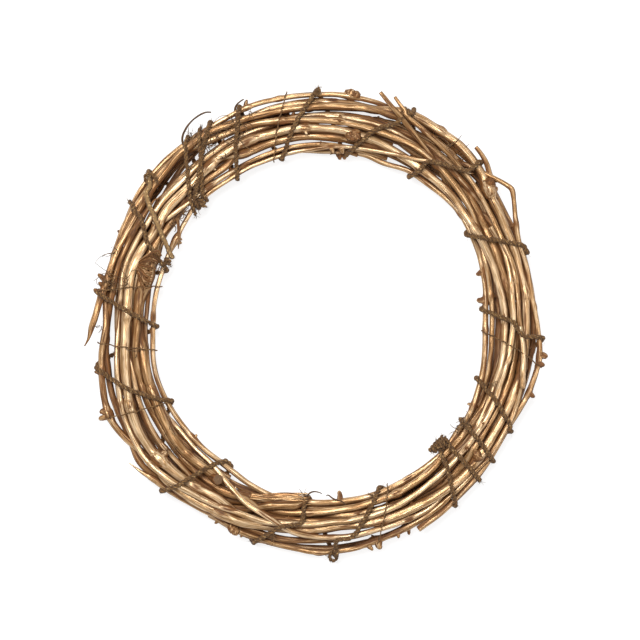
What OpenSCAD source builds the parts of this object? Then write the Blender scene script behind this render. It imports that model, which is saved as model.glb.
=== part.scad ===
// Vine cane wreath base: bare canes lapped round into a ring and bound with twisted twine.
// The ring lies flat, front face up. Clock hours are counted clockwise seen from above,
// with 12 at +Y and 3 at +X. All lengths are in millimetres.

/* [Ring] */
// Diameter of the whole wreath over its outermost twigs, to which everything scales
wreath_d = 257; // [200:1:400]
// Distance kept between the skins of neighbouring canes
cane_gap = 0.15; // [0.05:0.05:0.4]
// Settling passes that push crossing canes apart
settle_passes = 14; // [6:1:24]

/* [Twine] */
// Thickness of the binding twine
twine_d = 2.4; // [1.5:0.1:3.5]
// Thickness of the fine loose threads
thread_d = 0.7; // [0.4:0.1:1.2]

/* [Colours] */
// Colour of the sprayed canes
cane_colour = "#c9a46a"; // ["#c9a46a", "#b98d4f", "#8a6a42"]
// Colour of the binding twine
twine_colour = "#5f4830"; // ["#5f4830", "#7d6246", "#3c2f22"]

/* [Hidden] */
CANES = [for (i = [1 : 23]) str("cane_", i < 10 ? "0" : "", i)];
TWIGS = ["twig_outer_half_past_one", "twig_inner_ten", "twig_three", "twig_inner_half_past_twelve",
    "stub_seven"];
KNOTS = ["knot_twelve", "knot_half_past_four", "knot_ten", "knot_half_past_ten"];

// The routes below are drawn for a wreath of this diameter
drawn_d = 257;
ring_scale = wreath_d / drawn_d;
// Shift of the ring that puts the origin under the middle of the whole outline
ring_shift = [2.07, -0.749, -0.14];
hour_angle = 30;
station_hours = 0.25;
stations = 12 / station_hours;
cane_sides = 8;
twine_sides = 8;
thread_sides = 6;
// Part of a cane's radius that its rounded end sticks out past the last ring
end_cap = 0.45;

// Each cane: [lead end, route, tail end, thickness at the start, thickness at the end].
// A route's rows are [hour, distance from the ring's middle, height of the cane's middle];
// hours go on past 12 on the way round. The lead and tail rows are the free ends, which
// stand clear of the bundle and are left as they are.
ROUTES = [
    // 1: cut stub standing out at half past twelve, then inward along the right side
    [[[0.5, 131, 19], [0.6, 126.5, 18.6], [0.68, 123.5, 18.2]],
     [[0.75, 120.8, 17.6], [1.0, 113.5, 16], [1.6, 103, 9], [2.2, 98, 13], [3.0, 94.5, 13],
      [3.6, 96.5, 12], [4.4, 101, 8], [5.2, 103, 6], [6.2, 104.5, 5], [7.2, 110, 6], [8.2, 107, 7],
      [9.2, 100, 7], [10.2, 99, 8], [11.0, 96, 11], [11.6, 98, 14], [12.2, 98.5, 14], [12.8, 100, 10]],
     [], 3.0, 2.4],
    // 2: thin stub beside it, then the outside of the right side, ending in a sliver near 8
    [[[0.62, 131, 17.5], [0.68, 128, 17.8], [0.74, 125.5, 18]],
     [[0.82, 123, 18], [1.0, 120, 18], [1.4, 115.5, 17], [1.8, 112.5, 16.5], [2.2, 110, 17],
      [3.0, 109.5, 18],
      [3.4, 113, 17.5], [3.8, 116, 15], [4.6, 116, 14], [5.0, 118, 14], [5.6, 121.5, 12], [6.0, 122.5, 12],
      [6.4, 120, 12], [7.0, 117, 13], [7.4, 119, 14]],
     [[7.55, 121, 14.5], [7.7, 124, 15], [7.8, 126, 15]], 2.6, 3.0],
    // 3: the thickest outer cane
    [[],
     [[11.0, 117.5, 8], [11.5, 119.5, 10], [12.0, 121.5, 11], [12.4, 122, 12], [12.8, 124, 13.5],
      [13.0, 125, 14], [13.4, 124, 15], [13.8, 117, 15.5], [14.2, 115, 15], [15.0, 113, 14.5],
      [16.0, 111.5, 15], [16.6, 113, 16], [17.2, 111.5, 16.5], [17.8, 108.5, 15], [18.4, 110, 15.5],
      [18.8, 113, 16.5], [19.4, 116.5, 15.5], [19.8, 118, 11]],
     [], 4.6, 5.2],
    // 4: the thick cane over the left side, the top and the right side
    [[],
     [[6.4, 106, 10], [7.0, 108.5, 13], [7.4, 110.5, 16], [7.7, 112, 16.5], [8.0, 113, 16.5],
      [8.4, 110, 16.5], [8.8, 105, 17], [9.2, 103.5, 17], [9.6, 104.5, 16], [10.0, 102.5, 16],
      [10.4, 101.5, 16.5],
      [11.0, 106, 16], [11.6, 107.5, 16.5], [12.0, 107.5, 16.5], [12.4, 105.5, 15.5], [13.0, 102.5, 16],
      [13.8, 101, 16], [14.4, 101.5, 16], [15.2, 101.5, 16], [16.0, 101.5, 15], [16.8, 100, 13],
      [17.6, 100, 12], [18.4, 100, 11]],
     [], 5.8, 3.6],
    // 5: the pointed stick at 9, then the outside of the left side and the top
    [[[8.84, 126.5, 17], [8.9, 124, 17.2], [9.0, 122, 17.2], [9.1, 120.3, 17]],
     [[9.2, 119, 16.5], [9.6, 115, 15.5], [10.0, 114.5, 15], [10.4, 117, 15], [10.8, 119.5, 15.5],
      [11.4, 119, 15], [12.0, 119, 15], [12.4, 121, 16], [12.8, 123, 13], [13.0, 124, 9.5], [13.6, 121, 9],
      [14.2, 118, 9], [15.0, 117, 9], [16.0, 116, 9], [16.8, 115.5, 12], [17.4, 114.5, 13], [18.0, 116, 14],
      [18.4, 116.5, 13], [19.0, 113.5, 10], [19.8, 111, 8]],
     [], 3.8, 3.4],
    // 6: from the outside at 8 to the inside at 2
    [[],
     [[7.4, 115, 9], [8.0, 120, 14], [8.2, 123, 15], [8.6, 119.5, 15.5], [9.0, 114.5, 15], [9.6, 116.5, 12],
      [10.2, 119, 11], [10.6, 119.5, 13], [11.2, 115.5, 16], [11.6, 113.5, 16.5], [12.0, 111.5, 17],
      [12.8, 110.5, 17.5], [13.2, 109, 18], [13.6, 105.5, 18], [14.0, 101.5, 15], [14.6, 101, 11],
      [15.2, 101, 11], [16.0, 99, 12], [16.6, 99, 15], [17.2, 100, 16], [17.8, 100, 16], [18.6, 104, 11],
      [19.4, 111, 8]],
     [], 3.6, 4.0],
    // 7: inner edge of the left side, then a thin straight cane across the top right
    [[],
     [[6.2, 99, 12], [6.6, 94.5, 13], [7.2, 90.5, 13], [7.8, 91, 12], [8.4, 91.5, 12], [9.0, 89.5, 12],
      [9.6, 89.5, 12], [10.2, 91, 13], [10.6, 93.5, 13.5], [11.4, 94, 13], [12.0, 97, 14], [12.4, 99, 16],
      [12.8, 102, 18.5], [13.0, 104.5, 19.5], [13.2, 109, 20], [13.4, 114.5, 19]],
     [[13.52, 118.5, 16.5]], 3.2, 2.0],
    // 8: inner edge of the right side
    [[],
     [[11.8, 96.5, 8], [12.4, 97, 9], [13.0, 97.8, 11], [13.6, 98.5, 12], [14.0, 98.5, 12], [14.4, 95, 12],
      [14.8, 91.8, 12], [15.2, 91.5, 12], [15.6, 93.5, 12], [16.0, 96.5, 12], [16.6, 96.5, 12],
      [17.4, 96.5, 12],
      [18.0, 96.5, 12], [18.6, 100, 9], [19.4, 106, 6]],
     [], 2.8, 3.8],
    // 9: torn bark end inside at 6, then across the middle of the lower left
    [[[6.08, 92, 13], [6.16, 95.5, 13.5]],
     [[6.2, 97.5, 14], [6.4, 101, 13], [6.6, 105, 12], [7.0, 110, 11], [7.8, 113, 10], [8.6, 108, 10],
      [9.4, 107, 10], [10.4, 108, 11], [11.2, 110, 10], [12.0, 107, 9], [13.0, 108, 10], [14.0, 109, 11],
      [15.0, 106, 10], [16.0, 108, 10], [17.0, 107, 10]],
     [], 4.4, 3.6],
    // 10: thin bright cane that weaves over the others
    [[],
     [[2.0, 107, 14], [2.4, 107, 15], [2.8, 106.5, 18], [3.4, 104, 19], [4.0, 103.5, 17], [4.6, 104.5, 16.5],
      [5.2, 106, 17.5], [6.0, 107, 18], [6.6, 109, 19], [7.0, 111, 19.5], [7.4, 115, 18.5], [7.8, 117, 16],
      [8.2, 113.5, 16], [8.6, 110, 16.5], [9.0, 107.5, 15], [9.6, 108.5, 15.5], [10.2, 107.5, 17],
      [10.6, 107.5, 16.5], [11.2, 110.5, 13.5], [12.0, 114, 14.5], [12.6, 113.5, 15], [13.2, 111, 13],
      [14.0, 109, 10], [14.8, 110, 8]],
     [], 3.2, 3.8],
    // 11: dark wide cane at 2 to 4, then the middle of the bottom
    [[],
     [[1.4, 110, 10], [2.2, 106, 14.5], [2.8, 106, 14], [3.4, 108.5, 13], [4.0, 107, 14], [5.0, 107, 12],
      [5.8, 104.5, 12], [6.4, 105, 12], [7.0, 102.5, 13], [7.6, 101, 12], [8.2, 99.5, 13], [9.0, 97.5, 14],
      [10.0, 99, 14], [11.0, 102, 13], [11.6, 107, 12], [12.2, 107, 11], [12.8, 105, 10]],
     [], 5.0, 3.8],
    // 12: straight across from outside to inside between 6 and 7
    [[],
     [[4.2, 112, 9], [5.0, 115, 15], [5.4, 114.5, 16.5], [6.0, 114, 18.5], [6.4, 109, 19.5], [6.8, 102, 19],
      [7.0, 97.5, 17], [7.4, 94, 13], [8.0, 95.5, 9], [8.8, 100, 9], [9.6, 102, 12], [10.0, 103, 15],
      [10.4, 98, 16], [10.8, 95.5, 14], [11.6, 96, 9], [12.6, 98, 8]],
     [], 3.2, 2.8],
    // 13: bent twig kinked outside the ring at 2, then the outside down to a cut end at 5
    [[[1.32, 117, 10.5], [1.5, 121, 14], [1.66, 124.5, 16.5], [1.8, 128.3, 18], [1.83, 128.6, 18.2],
      [1.87, 127.6, 18.1], [2.05, 122, 17]],
     [[2.2, 118.5, 16], [2.4, 117.3, 15.5], [2.8, 117.5, 15], [3.2, 121, 14.5], [3.6, 119.8, 14],
      [4.0, 116.5, 12], [4.4, 118, 12], [4.8, 120.5, 12.5]],
     [[4.95, 121.5, 12.8], [5.12, 122.8, 13]], 2.4, 3.4],
    // 14 to 17: the underside
    [[],
     [[1.0, 107, 5], [2.0, 110, 5], [3.0, 103, 6], [4.0, 104, 5.5], [5.0, 108, 5], [6.0, 108, 6],
      [7.0, 112, 5], [8.0, 110, 5], [9.0, 101, 6], [10.0, 105, 5], [11.0, 118, 5], [11.8, 118, 6]],
     [], 3.8, 3.0],
    [[],
     [[4.0, 112, 4.5], [5.0, 103, 6], [6.0, 98, 6], [7.0, 97, 7], [8.0, 98, 5.5], [9.0, 107, 5],
      [10.0, 108, 6], [11.0, 104, 5], [12.0, 107, 6], [13.0, 110, 5], [14.0, 104, 5], [14.8, 102, 6]],
     [], 3.4, 3.4],
    [[],
     [[8.2, 112, 5], [9.0, 108, 5], [10.0, 112, 5], [11.0, 119, 8], [12.0, 119, 7], [13.0, 124, 6],
      [14.0, 115, 6], [15.0, 111, 5.5], [16.0, 110, 5], [17.0, 119, 6], [18.0, 121, 7], [19.0, 118, 6]],
     [], 3.2, 4.0],
    [[],
     [[10.2, 99, 6], [11.0, 108, 6], [12.0, 113, 5.5], [13.0, 119, 7], [14.0, 117, 6], [15.0, 113, 8],
      [16.0, 99, 7], [17.0, 98, 6], [18.0, 105, 5.5], [19.0, 103, 5.5], [20.0, 98, 6], [20.8, 98, 8]],
     [], 3.4, 2.8],
    // 18: the thick cane inside the left side that carries the pruned stub, then the top
    [[],
     [[7.0, 99.5, 13], [7.6, 99.5, 14.5], [8.0, 98.5, 14], [8.4, 97.5, 14], [8.8, 97.5, 13.5], [9.2, 97, 13],
      [9.6, 96.5, 13], [10.0, 99.5, 12], [10.6, 102, 12], [11.2, 103.5, 13], [12.0, 103.5, 13.5],
      [12.4, 103.5, 13.5], [12.8, 102.5, 10], [13.4, 101, 8], [14.2, 101, 8], [15.0, 99, 8], [16.0, 100, 8]],
     [], 5.2, 4.2],
    // 19: between the thick canes of the left side
    [[],
     [[6.0, 106, 8], [6.6, 104.5, 9], [7.2, 105.5, 11], [7.8, 106, 14], [8.4, 104, 14.5], [9.0, 101, 14],
      [9.6, 101.5, 14], [10.2, 104.5, 11], [11.0, 110.5, 9], [11.8, 112, 9]],
     [], 3.2, 3.0],
    // 20: dark cane outside the left side, pointed at half past ten
    [[],
     [[6.8, 113, 9], [7.4, 117, 12], [7.9, 118.5, 12], [8.2, 118, 12.5], [8.6, 116.5, 13], [9.0, 114.3, 14],
      [9.4, 113.5, 15], [9.8, 113, 15.5], [10.2, 111.8, 17]],
     [[10.3, 110.5, 18]], 3.6, 3.2],
    // 21: thin cane near the inner edge of the left side
    [[],
     [[7.0, 95, 9], [7.6, 96, 10], [8.2, 95, 11], [8.8, 94.6, 11], [9.4, 94.8, 11], [9.8, 95.5, 10],
      [10.2, 97.5, 8], [10.8, 99, 6]],
     [], 2.6, 2.4],
    // 22: thin outermost cane over the top
    [[],
     [[9.6, 115, 8], [10.0, 118.5, 10], [10.5, 121.5, 11], [11.0, 122.5, 12], [11.3, 124, 13],
      [11.6, 125.3, 13], [12.0, 125.8, 12.5], [12.3, 126, 12.5], [12.6, 124.5, 11],
      [13.0, 121, 8], [13.6, 117, 7]],
     [], 3.2, 2.8],
    // 23: fills the top right and the right side
    [[],
     [[11.6, 113, 8], [12.2, 115.5, 10], [12.8, 115.5, 11], [13.2, 114.5, 11], [13.6, 112, 10],
      [14.2, 110.5, 9],
      [15.0, 112, 9], [15.6, 110, 11], [16.2, 107, 13], [17.0, 106.5, 13.5], [17.6, 104.5, 13],
      [18.4, 104, 10],
      [19.0, 107, 8]],
     [], 3.6, 3.6]
];

// Short twig ends wedged in the bundle: [rows, thickness at the start, thickness at the end]
TWIG_ROUTES = [
    [[[1.38, 129.5, 16], [1.46, 128.6, 16], [1.56, 126.6, 15.5], [1.7, 122, 14],
      [1.8, 119.5, 11]], 2.4, 3.4],
    [[[9.97, 86.5, 14], [10.06, 88.5, 14.5], [10.16, 91.5, 16], [10.26, 95.5, 17.5]], 1.4, 1.8],
    [[[3.0, 109.5, 18.5], [3.2, 111.4, 19.5], [3.4, 113.6, 19.8], [3.56, 115.5, 19.6]], 2.8, 3.2],
    [[[0.14, 93.5, 13], [0.22, 95, 13], [0.3, 96, 12], [0.44, 95.5, 11]], 1.6, 2.2],
    [[[7.1, 98.5, 21], [7.12, 99, 18.5], [7.15, 99.3, 15.5], [7.2, 99.5, 12.5]], 6.2, 4.6]
];

// Where each turn of twine comes over the inner edge and over the outer edge
RIGHT_TURNS = [[9.85, 10.42], [10.5, 11.08], [11.05, 11.35], [11.6, 12.0], [12.3, 12.8], [13.05, 13.5],
    [13.95, 14.35], [14.8, 15.1], [15.6, 15.95], [16.1, 16.25], [16.4, 16.45]];
LEFT_TURNS = [[16.5, 16.75], [17.3, 17.85], [18.1, 18.55], [19.15, 19.45], [20.1, 20.65], [21.0, 21.3],
    [21.68, 22.12]];
SPARE_TURNS = [[10.42, 10.86], [10.62, 10.98]];

// ---- curves -------------------------------------------------------------------------

function slope(rows, i) =
    let (a = max(i - 1, 0), b = min(i + 1, len(rows) - 1))
    (rows[b] - rows[a]) / (rows[b][0] - rows[a][0]);

// Row at hour t of a smooth curve through the rows
function along(rows, t, i = 0) =
    i < len(rows) - 2 && t > rows[i + 1][0] ? along(rows, t, i + 1) :
    let (w = rows[i + 1][0] - rows[i][0], s = (t - rows[i][0]) / w)
    rows[i] * (2 * s^3 - 3 * s^2 + 1) + slope(rows, i) * w * (s^3 - 2 * s^2 + s)
    + rows[i + 1] * (3 * s^2 - 2 * s^3) + slope(rows, i + 1) * w * (s^3 - s^2);

// Place of a point given by hour, distance from the ring's middle and height
function at_hour(hour, reach, height) =
    ring_scale * (reach * [sin(hour * hour_angle), cos(hour * hour_angle), 0] + [0, 0, height] + ring_shift);

function row_point(row) = at_hour(row[0], row[1], row[2]);

function sum(list, i = 0, total = [0, 0]) = i >= len(list) ? total : sum(list, i + 1, total + list[i]);

// ---- settling the canes of each section ------------------------------------------------

function route_of(cane) = ROUTES[cane][1];

function first_station(cane) = round(route_of(cane)[0][0] / station_hours);

function last_station(cane) = round(route_of(cane)[len(route_of(cane)) - 1][0] / station_hours);

function cane_radius(cane, station) =
    let (share = (station - first_station(cane)) / (last_station(cane) - first_station(cane)))
    (ROUTES[cane][3] + (ROUTES[cane][4] - ROUTES[cane][3]) * share) / 2;

// Canes that pass one section before settling: [reach, height, radius, cane, station]
function drawn_section(s) = [
    for (cane = [0 : len(ROUTES) - 1])
        for (turn = [0 : 1])
            let (station = s + turn * stations)
            if (station >= first_station(cane) && station <= last_station(cane))
                let (row = along(route_of(cane), station * station_hours))
                [row[1], row[2], cane_radius(cane, station), cane, station]
];

// Half of the shift that moves cane a clear of cane b
function push(a, b) =
    let (apart = [a[0] - b[0], a[1] - b[1]],
         distance = max(norm(apart), 0.01),
         room = a[2] + b[2] + cane_gap)
    distance < room ? apart * (room - distance) / distance / 2 : [0, 0];

function settle_once(section) = [
    for (i = [0 : len(section) - 1])
        let (shift = sum([for (j = [0 : len(section) - 1]) if (j != i) push(section[i], section[j])]))
        [section[i][0] + shift[0], max(section[i][1] + shift[1], section[i][2] + twine_d),
         section[i][2], section[i][3], section[i][4]]
];

function settle(section, passes) = passes == 0 ? section : settle(settle_once(section), passes - 1);

SECTIONS = [for (s = [0 : stations - 1]) settle(drawn_section(s), settle_passes)];

function settled_row(cane, station) =
    [for (c = SECTIONS[station % stations]) if (c[3] == cane && c[4] == station) c][0];

// ---- tubes ------------------------------------------------------------------------------

function unit(v) = v / max(norm(v), 0.000001);

function tangent(path, i) = unit(path[min(i + 1, len(path) - 1)] - path[max(i - 1, 0)]);

function square_to(v, along_way) = unit(v - along_way * (v * along_way));

// A direction square to the path at each point, carried along without twisting
function carried(path) = [
    for (i = 0, way = tangent(path, 0), n = square_to(abs(way.z) < 0.9 ? [0, 0, 1] : [1, 0, 0], way);
         i < len(path);
         i = i + 1, way = tangent(path, min(i, len(path) - 1)), n = square_to(n, way))
        n
];

function ring_points(path, normals, radii, i, sides) =
    let (way = tangent(path, i), n = normals[i], m = cross(way, n))
    [for (k = [0 : sides - 1])
        path[i] + ring_scale * radii[i] * (n * cos(360 * k / sides) + m * sin(360 * k / sides))];

function tube_points(path, radii, sides) =
    let (normals = carried(path), last = len(path) - 1)
    concat([path[0] - tangent(path, 0) * ring_scale * radii[0] * end_cap],
        [for (i = [0 : last]) each ring_points(path, normals, radii, i, sides)],
        [path[last] + tangent(path, last) * ring_scale * radii[last] * end_cap]);

function tube_faces(rings, sides, base = 0) = concat(
    [for (k = [0 : sides - 1]) [base, base + 1 + k, base + 1 + (k + 1) % sides]],
    [for (i = [0 : rings - 2]) for (k = [0 : sides - 1])
        let (a = base + 1 + i * sides, b = a + sides, l = (k + 1) % sides)
        each [[a + k, b + k, b + l], [a + k, b + l, a + l]]],
    [for (k = [0 : sides - 1])
        let (a = base + 1 + (rings - 1) * sides)
        [a + (k + 1) % sides, a + k, base + 1 + rings * sides]]
);

// One closed tube along a path, with a radius for each point
module tube(path, radii, sides) {
    polyhedron(points = tube_points(path, radii, sides), faces = tube_faces(len(path), sides));
}

function even_radii(path, thickness) = [for (p = path) thickness / 2];

function tapered_radii(path, start, end) =
    [for (i = [0 : len(path) - 1]) (start + (end - start) * i / (len(path) - 1)) / 2];

// Smooth points through hand placed rows, with so many steps between each pair
function eased(rows, steps) = concat(
    [for (i = [0 : len(rows) - 2]) for (s = [0 : steps - 1])
        let (t = rows[i][0] + (rows[i + 1][0] - rows[i][0]) * s / steps)
        row_point(along(rows, t))],
    [row_point(rows[len(rows) - 1])]);

// ---- canes and twigs ----------------------------------------------------------------------

function cane_path(cane) = concat(
    [for (row = ROUTES[cane][0]) row_point(row)],
    [for (station = [first_station(cane) : last_station(cane)])
        let (c = settled_row(cane, station))
        at_hour(station * station_hours, c[0], c[1])],
    [for (row = ROUTES[cane][2]) row_point(row)]
);

module cane(i) {
    path = cane_path(i);
    color(cane_colour) tube(path, tapered_radii(path, ROUTES[i][3], ROUTES[i][4]), cane_sides);
}

module twig(i) {
    path = eased(TWIG_ROUTES[i][0], 2);
    color(cane_colour) tube(path, tapered_radii(path, TWIG_ROUTES[i][1], TWIG_ROUTES[i][2]), cane_sides);
}

// ---- twine ----------------------------------------------------------------------------------

// Canes of the bundle at any hour, between its two neighbouring sections
function bundle_at(hour) =
    let (place = hour / station_hours, s = floor(place), share = place - s,
         here = SECTIONS[s % stations], next = SECTIONS[(s + 1) % stations])
    [for (c = here) for (d = next)
        if (c[3] == d[3] && (d[4] - c[4] + 2 * stations) % stations == 1)
            [c[0] + (d[0] - c[0]) * share, c[1] + (d[1] - c[1]) * share, c[2]]];

// Point of a taut wrap whose outward direction is at this angle round the section
function taut(bundle, angle) =
    let (u = [cos(angle), sin(angle)],
         outs = [for (c = bundle) c[0] * u[0] + c[1] * u[1] + c[2]],
         c = bundle[search(max(outs), outs)[0]])
    [c[0] + u[0] * (c[2] + twine_d / 2), c[1] + u[1] * (c[2] + twine_d / 2)];

// Point of a wrap that runs from one hour to another, at this angle round the section. It
// moves along the ring as it moves across the bundle, so that it crosses in a straight line.
function wrap_point(from, to, angle) =
    let (middle = bundle_at((from + to) / 2),
         start = taut(middle, angle < 180 ? 180 : 360)[0],
         end = taut(middle, angle < 180 ? 0 : 180)[0],
         share = (taut(middle, angle)[0] - start) / (end - start),
         hour = from + (to - from) * min(max(share, 0), 1),
         p = taut(bundle_at(hour), angle))
    at_hour(hour, p[0], p[1]);

wrap_step = 18;

// Over the front from the inner edge outward, then back under the ring to the next turn
function turns_path(turns) = [
    for (i = [0 : len(turns) - 1])
        each concat(
            [for (a = [1 : wrap_step : 179]) wrap_point(turns[i][0], turns[i][1], 180 - a)],
            i == len(turns) - 1 ? [] :
                [for (a = [1 : wrap_step : 179]) wrap_point(turns[i][1], turns[i + 1][0], 360 - a)])
];

module wound_twine(turns) {
    path = turns_path(turns);
    color(twine_colour) tube(path, even_radii(path, twine_d), twine_sides);
}

module twine_right() {
    wound_twine(RIGHT_TURNS);
}

module twine_left() {
    wound_twine(LEFT_TURNS);
}

module twine_spare_strand() {
    wound_twine(SPARE_TURNS);
}

// ---- knots, loops and trimmings ---------------------------------------------------------------

// Point measured outward, clockwise and up from a place [hour, reach, height]
function near(place, p) =
    row_point(place) + ring_scale * (p.x * [sin(place[0] * hour_angle), cos(place[0] * hour_angle), 0]
        + p.y * [cos(place[0] * hour_angle), -sin(place[0] * hour_angle), 0] + [0, 0, p.z]);

// Where each knot sits, its turns, the coil's radius, and how far it leans from the ring's radius
KNOT_PLACES = [
    [[0.0, 127.3, 17.5], 1.5, 1.1, 60],
    [[4.45, 91.5, 15], 3.25, 1.6, 85],
    [[9.78, 88.5, 15], 1.75, 1.3, 70],
    [[10.56, 91, 16], 1.75, 1.3, 30]
];
// The twine is pulled thinner where it is knotted
knotted = 0.78;
// Room between two neighbouring coils, as a share of the twine in the knot
coil_room = 1.08;
coil_step = 24;

function coil_point(turns, width, lean, angle) =
    let (rise = (angle / 360 - turns / 2) * twine_d * knotted * coil_room,
         over = width * cos(angle))
    [rise * cos(lean) - over * sin(lean), rise * sin(lean) + over * cos(lean), width * sin(angle)];

function knot_path(place, turns, width, lean) =
    [for (angle = [0 : coil_step : turns * 360]) near(place, coil_point(turns, width, lean, angle))];

module knot(i) {
    path = knot_path(KNOT_PLACES[i][0], KNOT_PLACES[i][1], KNOT_PLACES[i][2], KNOT_PLACES[i][3]);
    color(twine_colour) tube(path, even_radii(path, twine_d * knotted), twine_sides);
}

// Several separate tubes as one group
module tubes(paths, radii, sides) {
    rings_before = [for (i = 0, n = 0; i < len(paths); n = n + len(paths[i]), i = i + 1) n];
    polyhedron(
        points = [for (i = [0 : len(paths) - 1]) each tube_points(paths[i], radii[i], sides)],
        faces = [for (i = [0 : len(paths) - 1])
            each tube_faces(len(paths[i]), sides, rings_before[i] * sides + 2 * i)]);
}

// Open loops that the twine's ends make outside the ring: [place, radius of the loop]
END_LOOPS = [[[5.87, 125, 12], 2.6], [[10.38, 120.5, 18], 3.4]];
// A loop is this much narrower along the ring than across it
loop_flat = 0.8;
// Height in millimetres that a loop gains for each degree that it turns
loop_rise = 1 / 60;

function loop_path(place, size) =
    [for (t = [-120 : 30 : 150]) near(place, [size * cos(t), size * loop_flat * sin(t), t * loop_rise])];

module twine_end_loops() {
    paths = [for (l = END_LOOPS) loop_path(l[0], l[1])];
    color(twine_colour) tubes(paths, [for (p = paths) even_radii(p, twine_d * knotted)], twine_sides);
}

// Thickness of each group of tendrils at its root and at its tip
TENDRIL_ENDS_ELEVEN = [1.3, 0.8];
TENDRIL_ENDS_SIX = [0.9, 0.6];
TENDRILS_ELEVEN = [
    [[10.8, 125, 14], [10.84, 127.5, 14.5], [10.9, 129.5, 15], [11.0, 131, 15.5],
        [11.08, 131, 16], [11.12, 129.5, 16]],
    [[11.3, 125, 13], [11.31, 127, 13.5], [11.34, 128.5, 14], [11.4, 129.5, 14.5]]
];
TENDRILS_SIX = [
    [[6.1, 90.5, 14.5], [6.05, 89.5, 15], [5.99, 89.6, 15.5], [5.95, 90.6, 15.5]],
    [[5.72, 96, 14], [5.8, 94.5, 14.5], [5.86, 92.5, 15], [5.88, 90.8, 15], [5.9, 92, 15.5]]
];

module tendrils(rows, ends) {
    paths = [for (r = rows) [for (row = r) row_point(row)]];
    color(twine_colour) tubes(paths, [for (p = paths) tapered_radii(p, ends[0], ends[1])], thread_sides);
}

module tendrils_eleven() {
    tendrils(TENDRILS_ELEVEN, TENDRIL_ENDS_ELEVEN);
}

module tendrils_six() {
    tendrils(TENDRILS_SIX, TENDRIL_ENDS_SIX);
}

// Woody knobs where side shoots were cut from the canes: [place, length, width, height]
KNOB_PLACES = [
    [[0.37, 104.5, 20.5], [9, 7, 5]],
    [[4.3, 111.5, 20], [7, 5, 3.6]],
    [[6.75, 119.5, 15], [8, 4, 4]]
];
knob_sides = 10;

module bark_knobs() {
    color(cane_colour)
        for (k = KNOB_PLACES)
            translate(row_point(k[0]))
                rotate([0, 0, -k[0][0] * hour_angle])
                    scale(k[1] * ring_scale / 2) sphere(r = 1, $fn = knob_sides);
}

bark_thickness = 1.1;
// Each strip of bark: [rows, width at the start, width at the end]
TORN_BARK = [[[5.98, 94.5, 15], [6.1, 92.8, 16], [6.3, 94, 16], [6.6, 98, 15]], [2.5, 6]];
BARK_FAN = [[[9.44, 97.5, 19.2], [9.56, 98, 20.2], [9.7, 97.5, 20.2], [9.82, 96, 19]], [3, 9]];

// A strip of bark along a path: thin upright, wide across
module bark_strip(rows, widths) {
    path = eased(rows, 2);
    points = [for (i = [0 : len(path) - 1])
        let (across = unit(cross(tangent(path, i), [0, 0, 1])),
             width = widths[0] + (widths[1] - widths[0]) * i / (len(path) - 1))
        for (k = [0 : thread_sides - 1])
            path[i] + ring_scale / 2 * (across * width * cos(k * 360 / thread_sides)
                + [0, 0, bark_thickness * sin(k * 360 / thread_sides)])];
    polyhedron(
        points = concat([path[0] - tangent(path, 0) * bark_thickness], points,
            [path[len(path) - 1] + tangent(path, len(path) - 1) * bark_thickness]),
        faces = tube_faces(len(path), thread_sides));
}

module torn_bark_six() {
    color(cane_colour) bark_strip(TORN_BARK[0], TORN_BARK[1]);
}

module bark_fibres_ten() {
    color(cane_colour) bark_strip(BARK_FAN[0], BARK_FAN[1]);
}

// Fine threads, each from the inner edge over the front to the outer edge
THREAD_TURNS = [[3.05, 3.35], [5.2, 5.5], [8.1, 8.22], [8.72, 8.86], [9.48, 9.3], [11.5, 11.75]];
thread_step = 15;

module loose_threads() {
    paths = [for (t = THREAD_TURNS) [for (a = [thread_step : thread_step : 180 - thread_step])
        wrap_point(t[0], t[1], 180 - a)]];
    color(twine_colour) tubes(paths, [for (p = paths) even_radii(p, thread_d)], thread_sides);
}

for (i = [0 : len(CANES) - 1]) cane(i);
for (i = [0 : len(TWIGS) - 1]) twig(i);
for (i = [0 : len(KNOTS) - 1]) knot(i);
twine_right();
twine_left();
twine_spare_strand();
twine_end_loops();
tendrils_eleven();
tendrils_six();
bark_knobs();
torn_bark_six();
bark_fibres_ten();
loose_threads();
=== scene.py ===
"""Vine cane wreath base, sprayed champagne gold and bound with brown jute twine.

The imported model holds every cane, twig and length of twine as a plain tube. This script reads the
middle line of each tube back from its mesh and builds the real thing along it: ridged canes with
swollen joints, buds, cut and torn ends, two-ply twine with loose fibres, knots, tendrils and bark.
Everything is in metres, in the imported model's own frame. The ring lies flat, front face up.
"""

import logging
import math
from dataclasses import dataclass, field
from enum import Enum
from functools import partial
from typing import ClassVar

import bpy
import numpy as np
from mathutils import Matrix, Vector

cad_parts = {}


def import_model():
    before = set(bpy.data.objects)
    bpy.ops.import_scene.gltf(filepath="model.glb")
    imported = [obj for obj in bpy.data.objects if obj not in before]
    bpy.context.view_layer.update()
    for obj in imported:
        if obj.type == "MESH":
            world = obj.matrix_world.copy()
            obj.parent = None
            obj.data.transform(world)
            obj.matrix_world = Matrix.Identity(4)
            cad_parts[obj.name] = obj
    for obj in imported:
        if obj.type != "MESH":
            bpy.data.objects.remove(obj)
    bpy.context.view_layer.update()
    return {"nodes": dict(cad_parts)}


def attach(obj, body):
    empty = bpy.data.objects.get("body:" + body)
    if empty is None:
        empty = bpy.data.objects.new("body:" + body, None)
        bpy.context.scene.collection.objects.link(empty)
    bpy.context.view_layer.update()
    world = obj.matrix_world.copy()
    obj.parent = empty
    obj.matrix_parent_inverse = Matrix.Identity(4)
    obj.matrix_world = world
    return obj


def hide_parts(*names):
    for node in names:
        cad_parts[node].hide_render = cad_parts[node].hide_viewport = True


LOG = logging.getLogger("wreath")
MM = 0.001
ROOT = "root"
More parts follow.
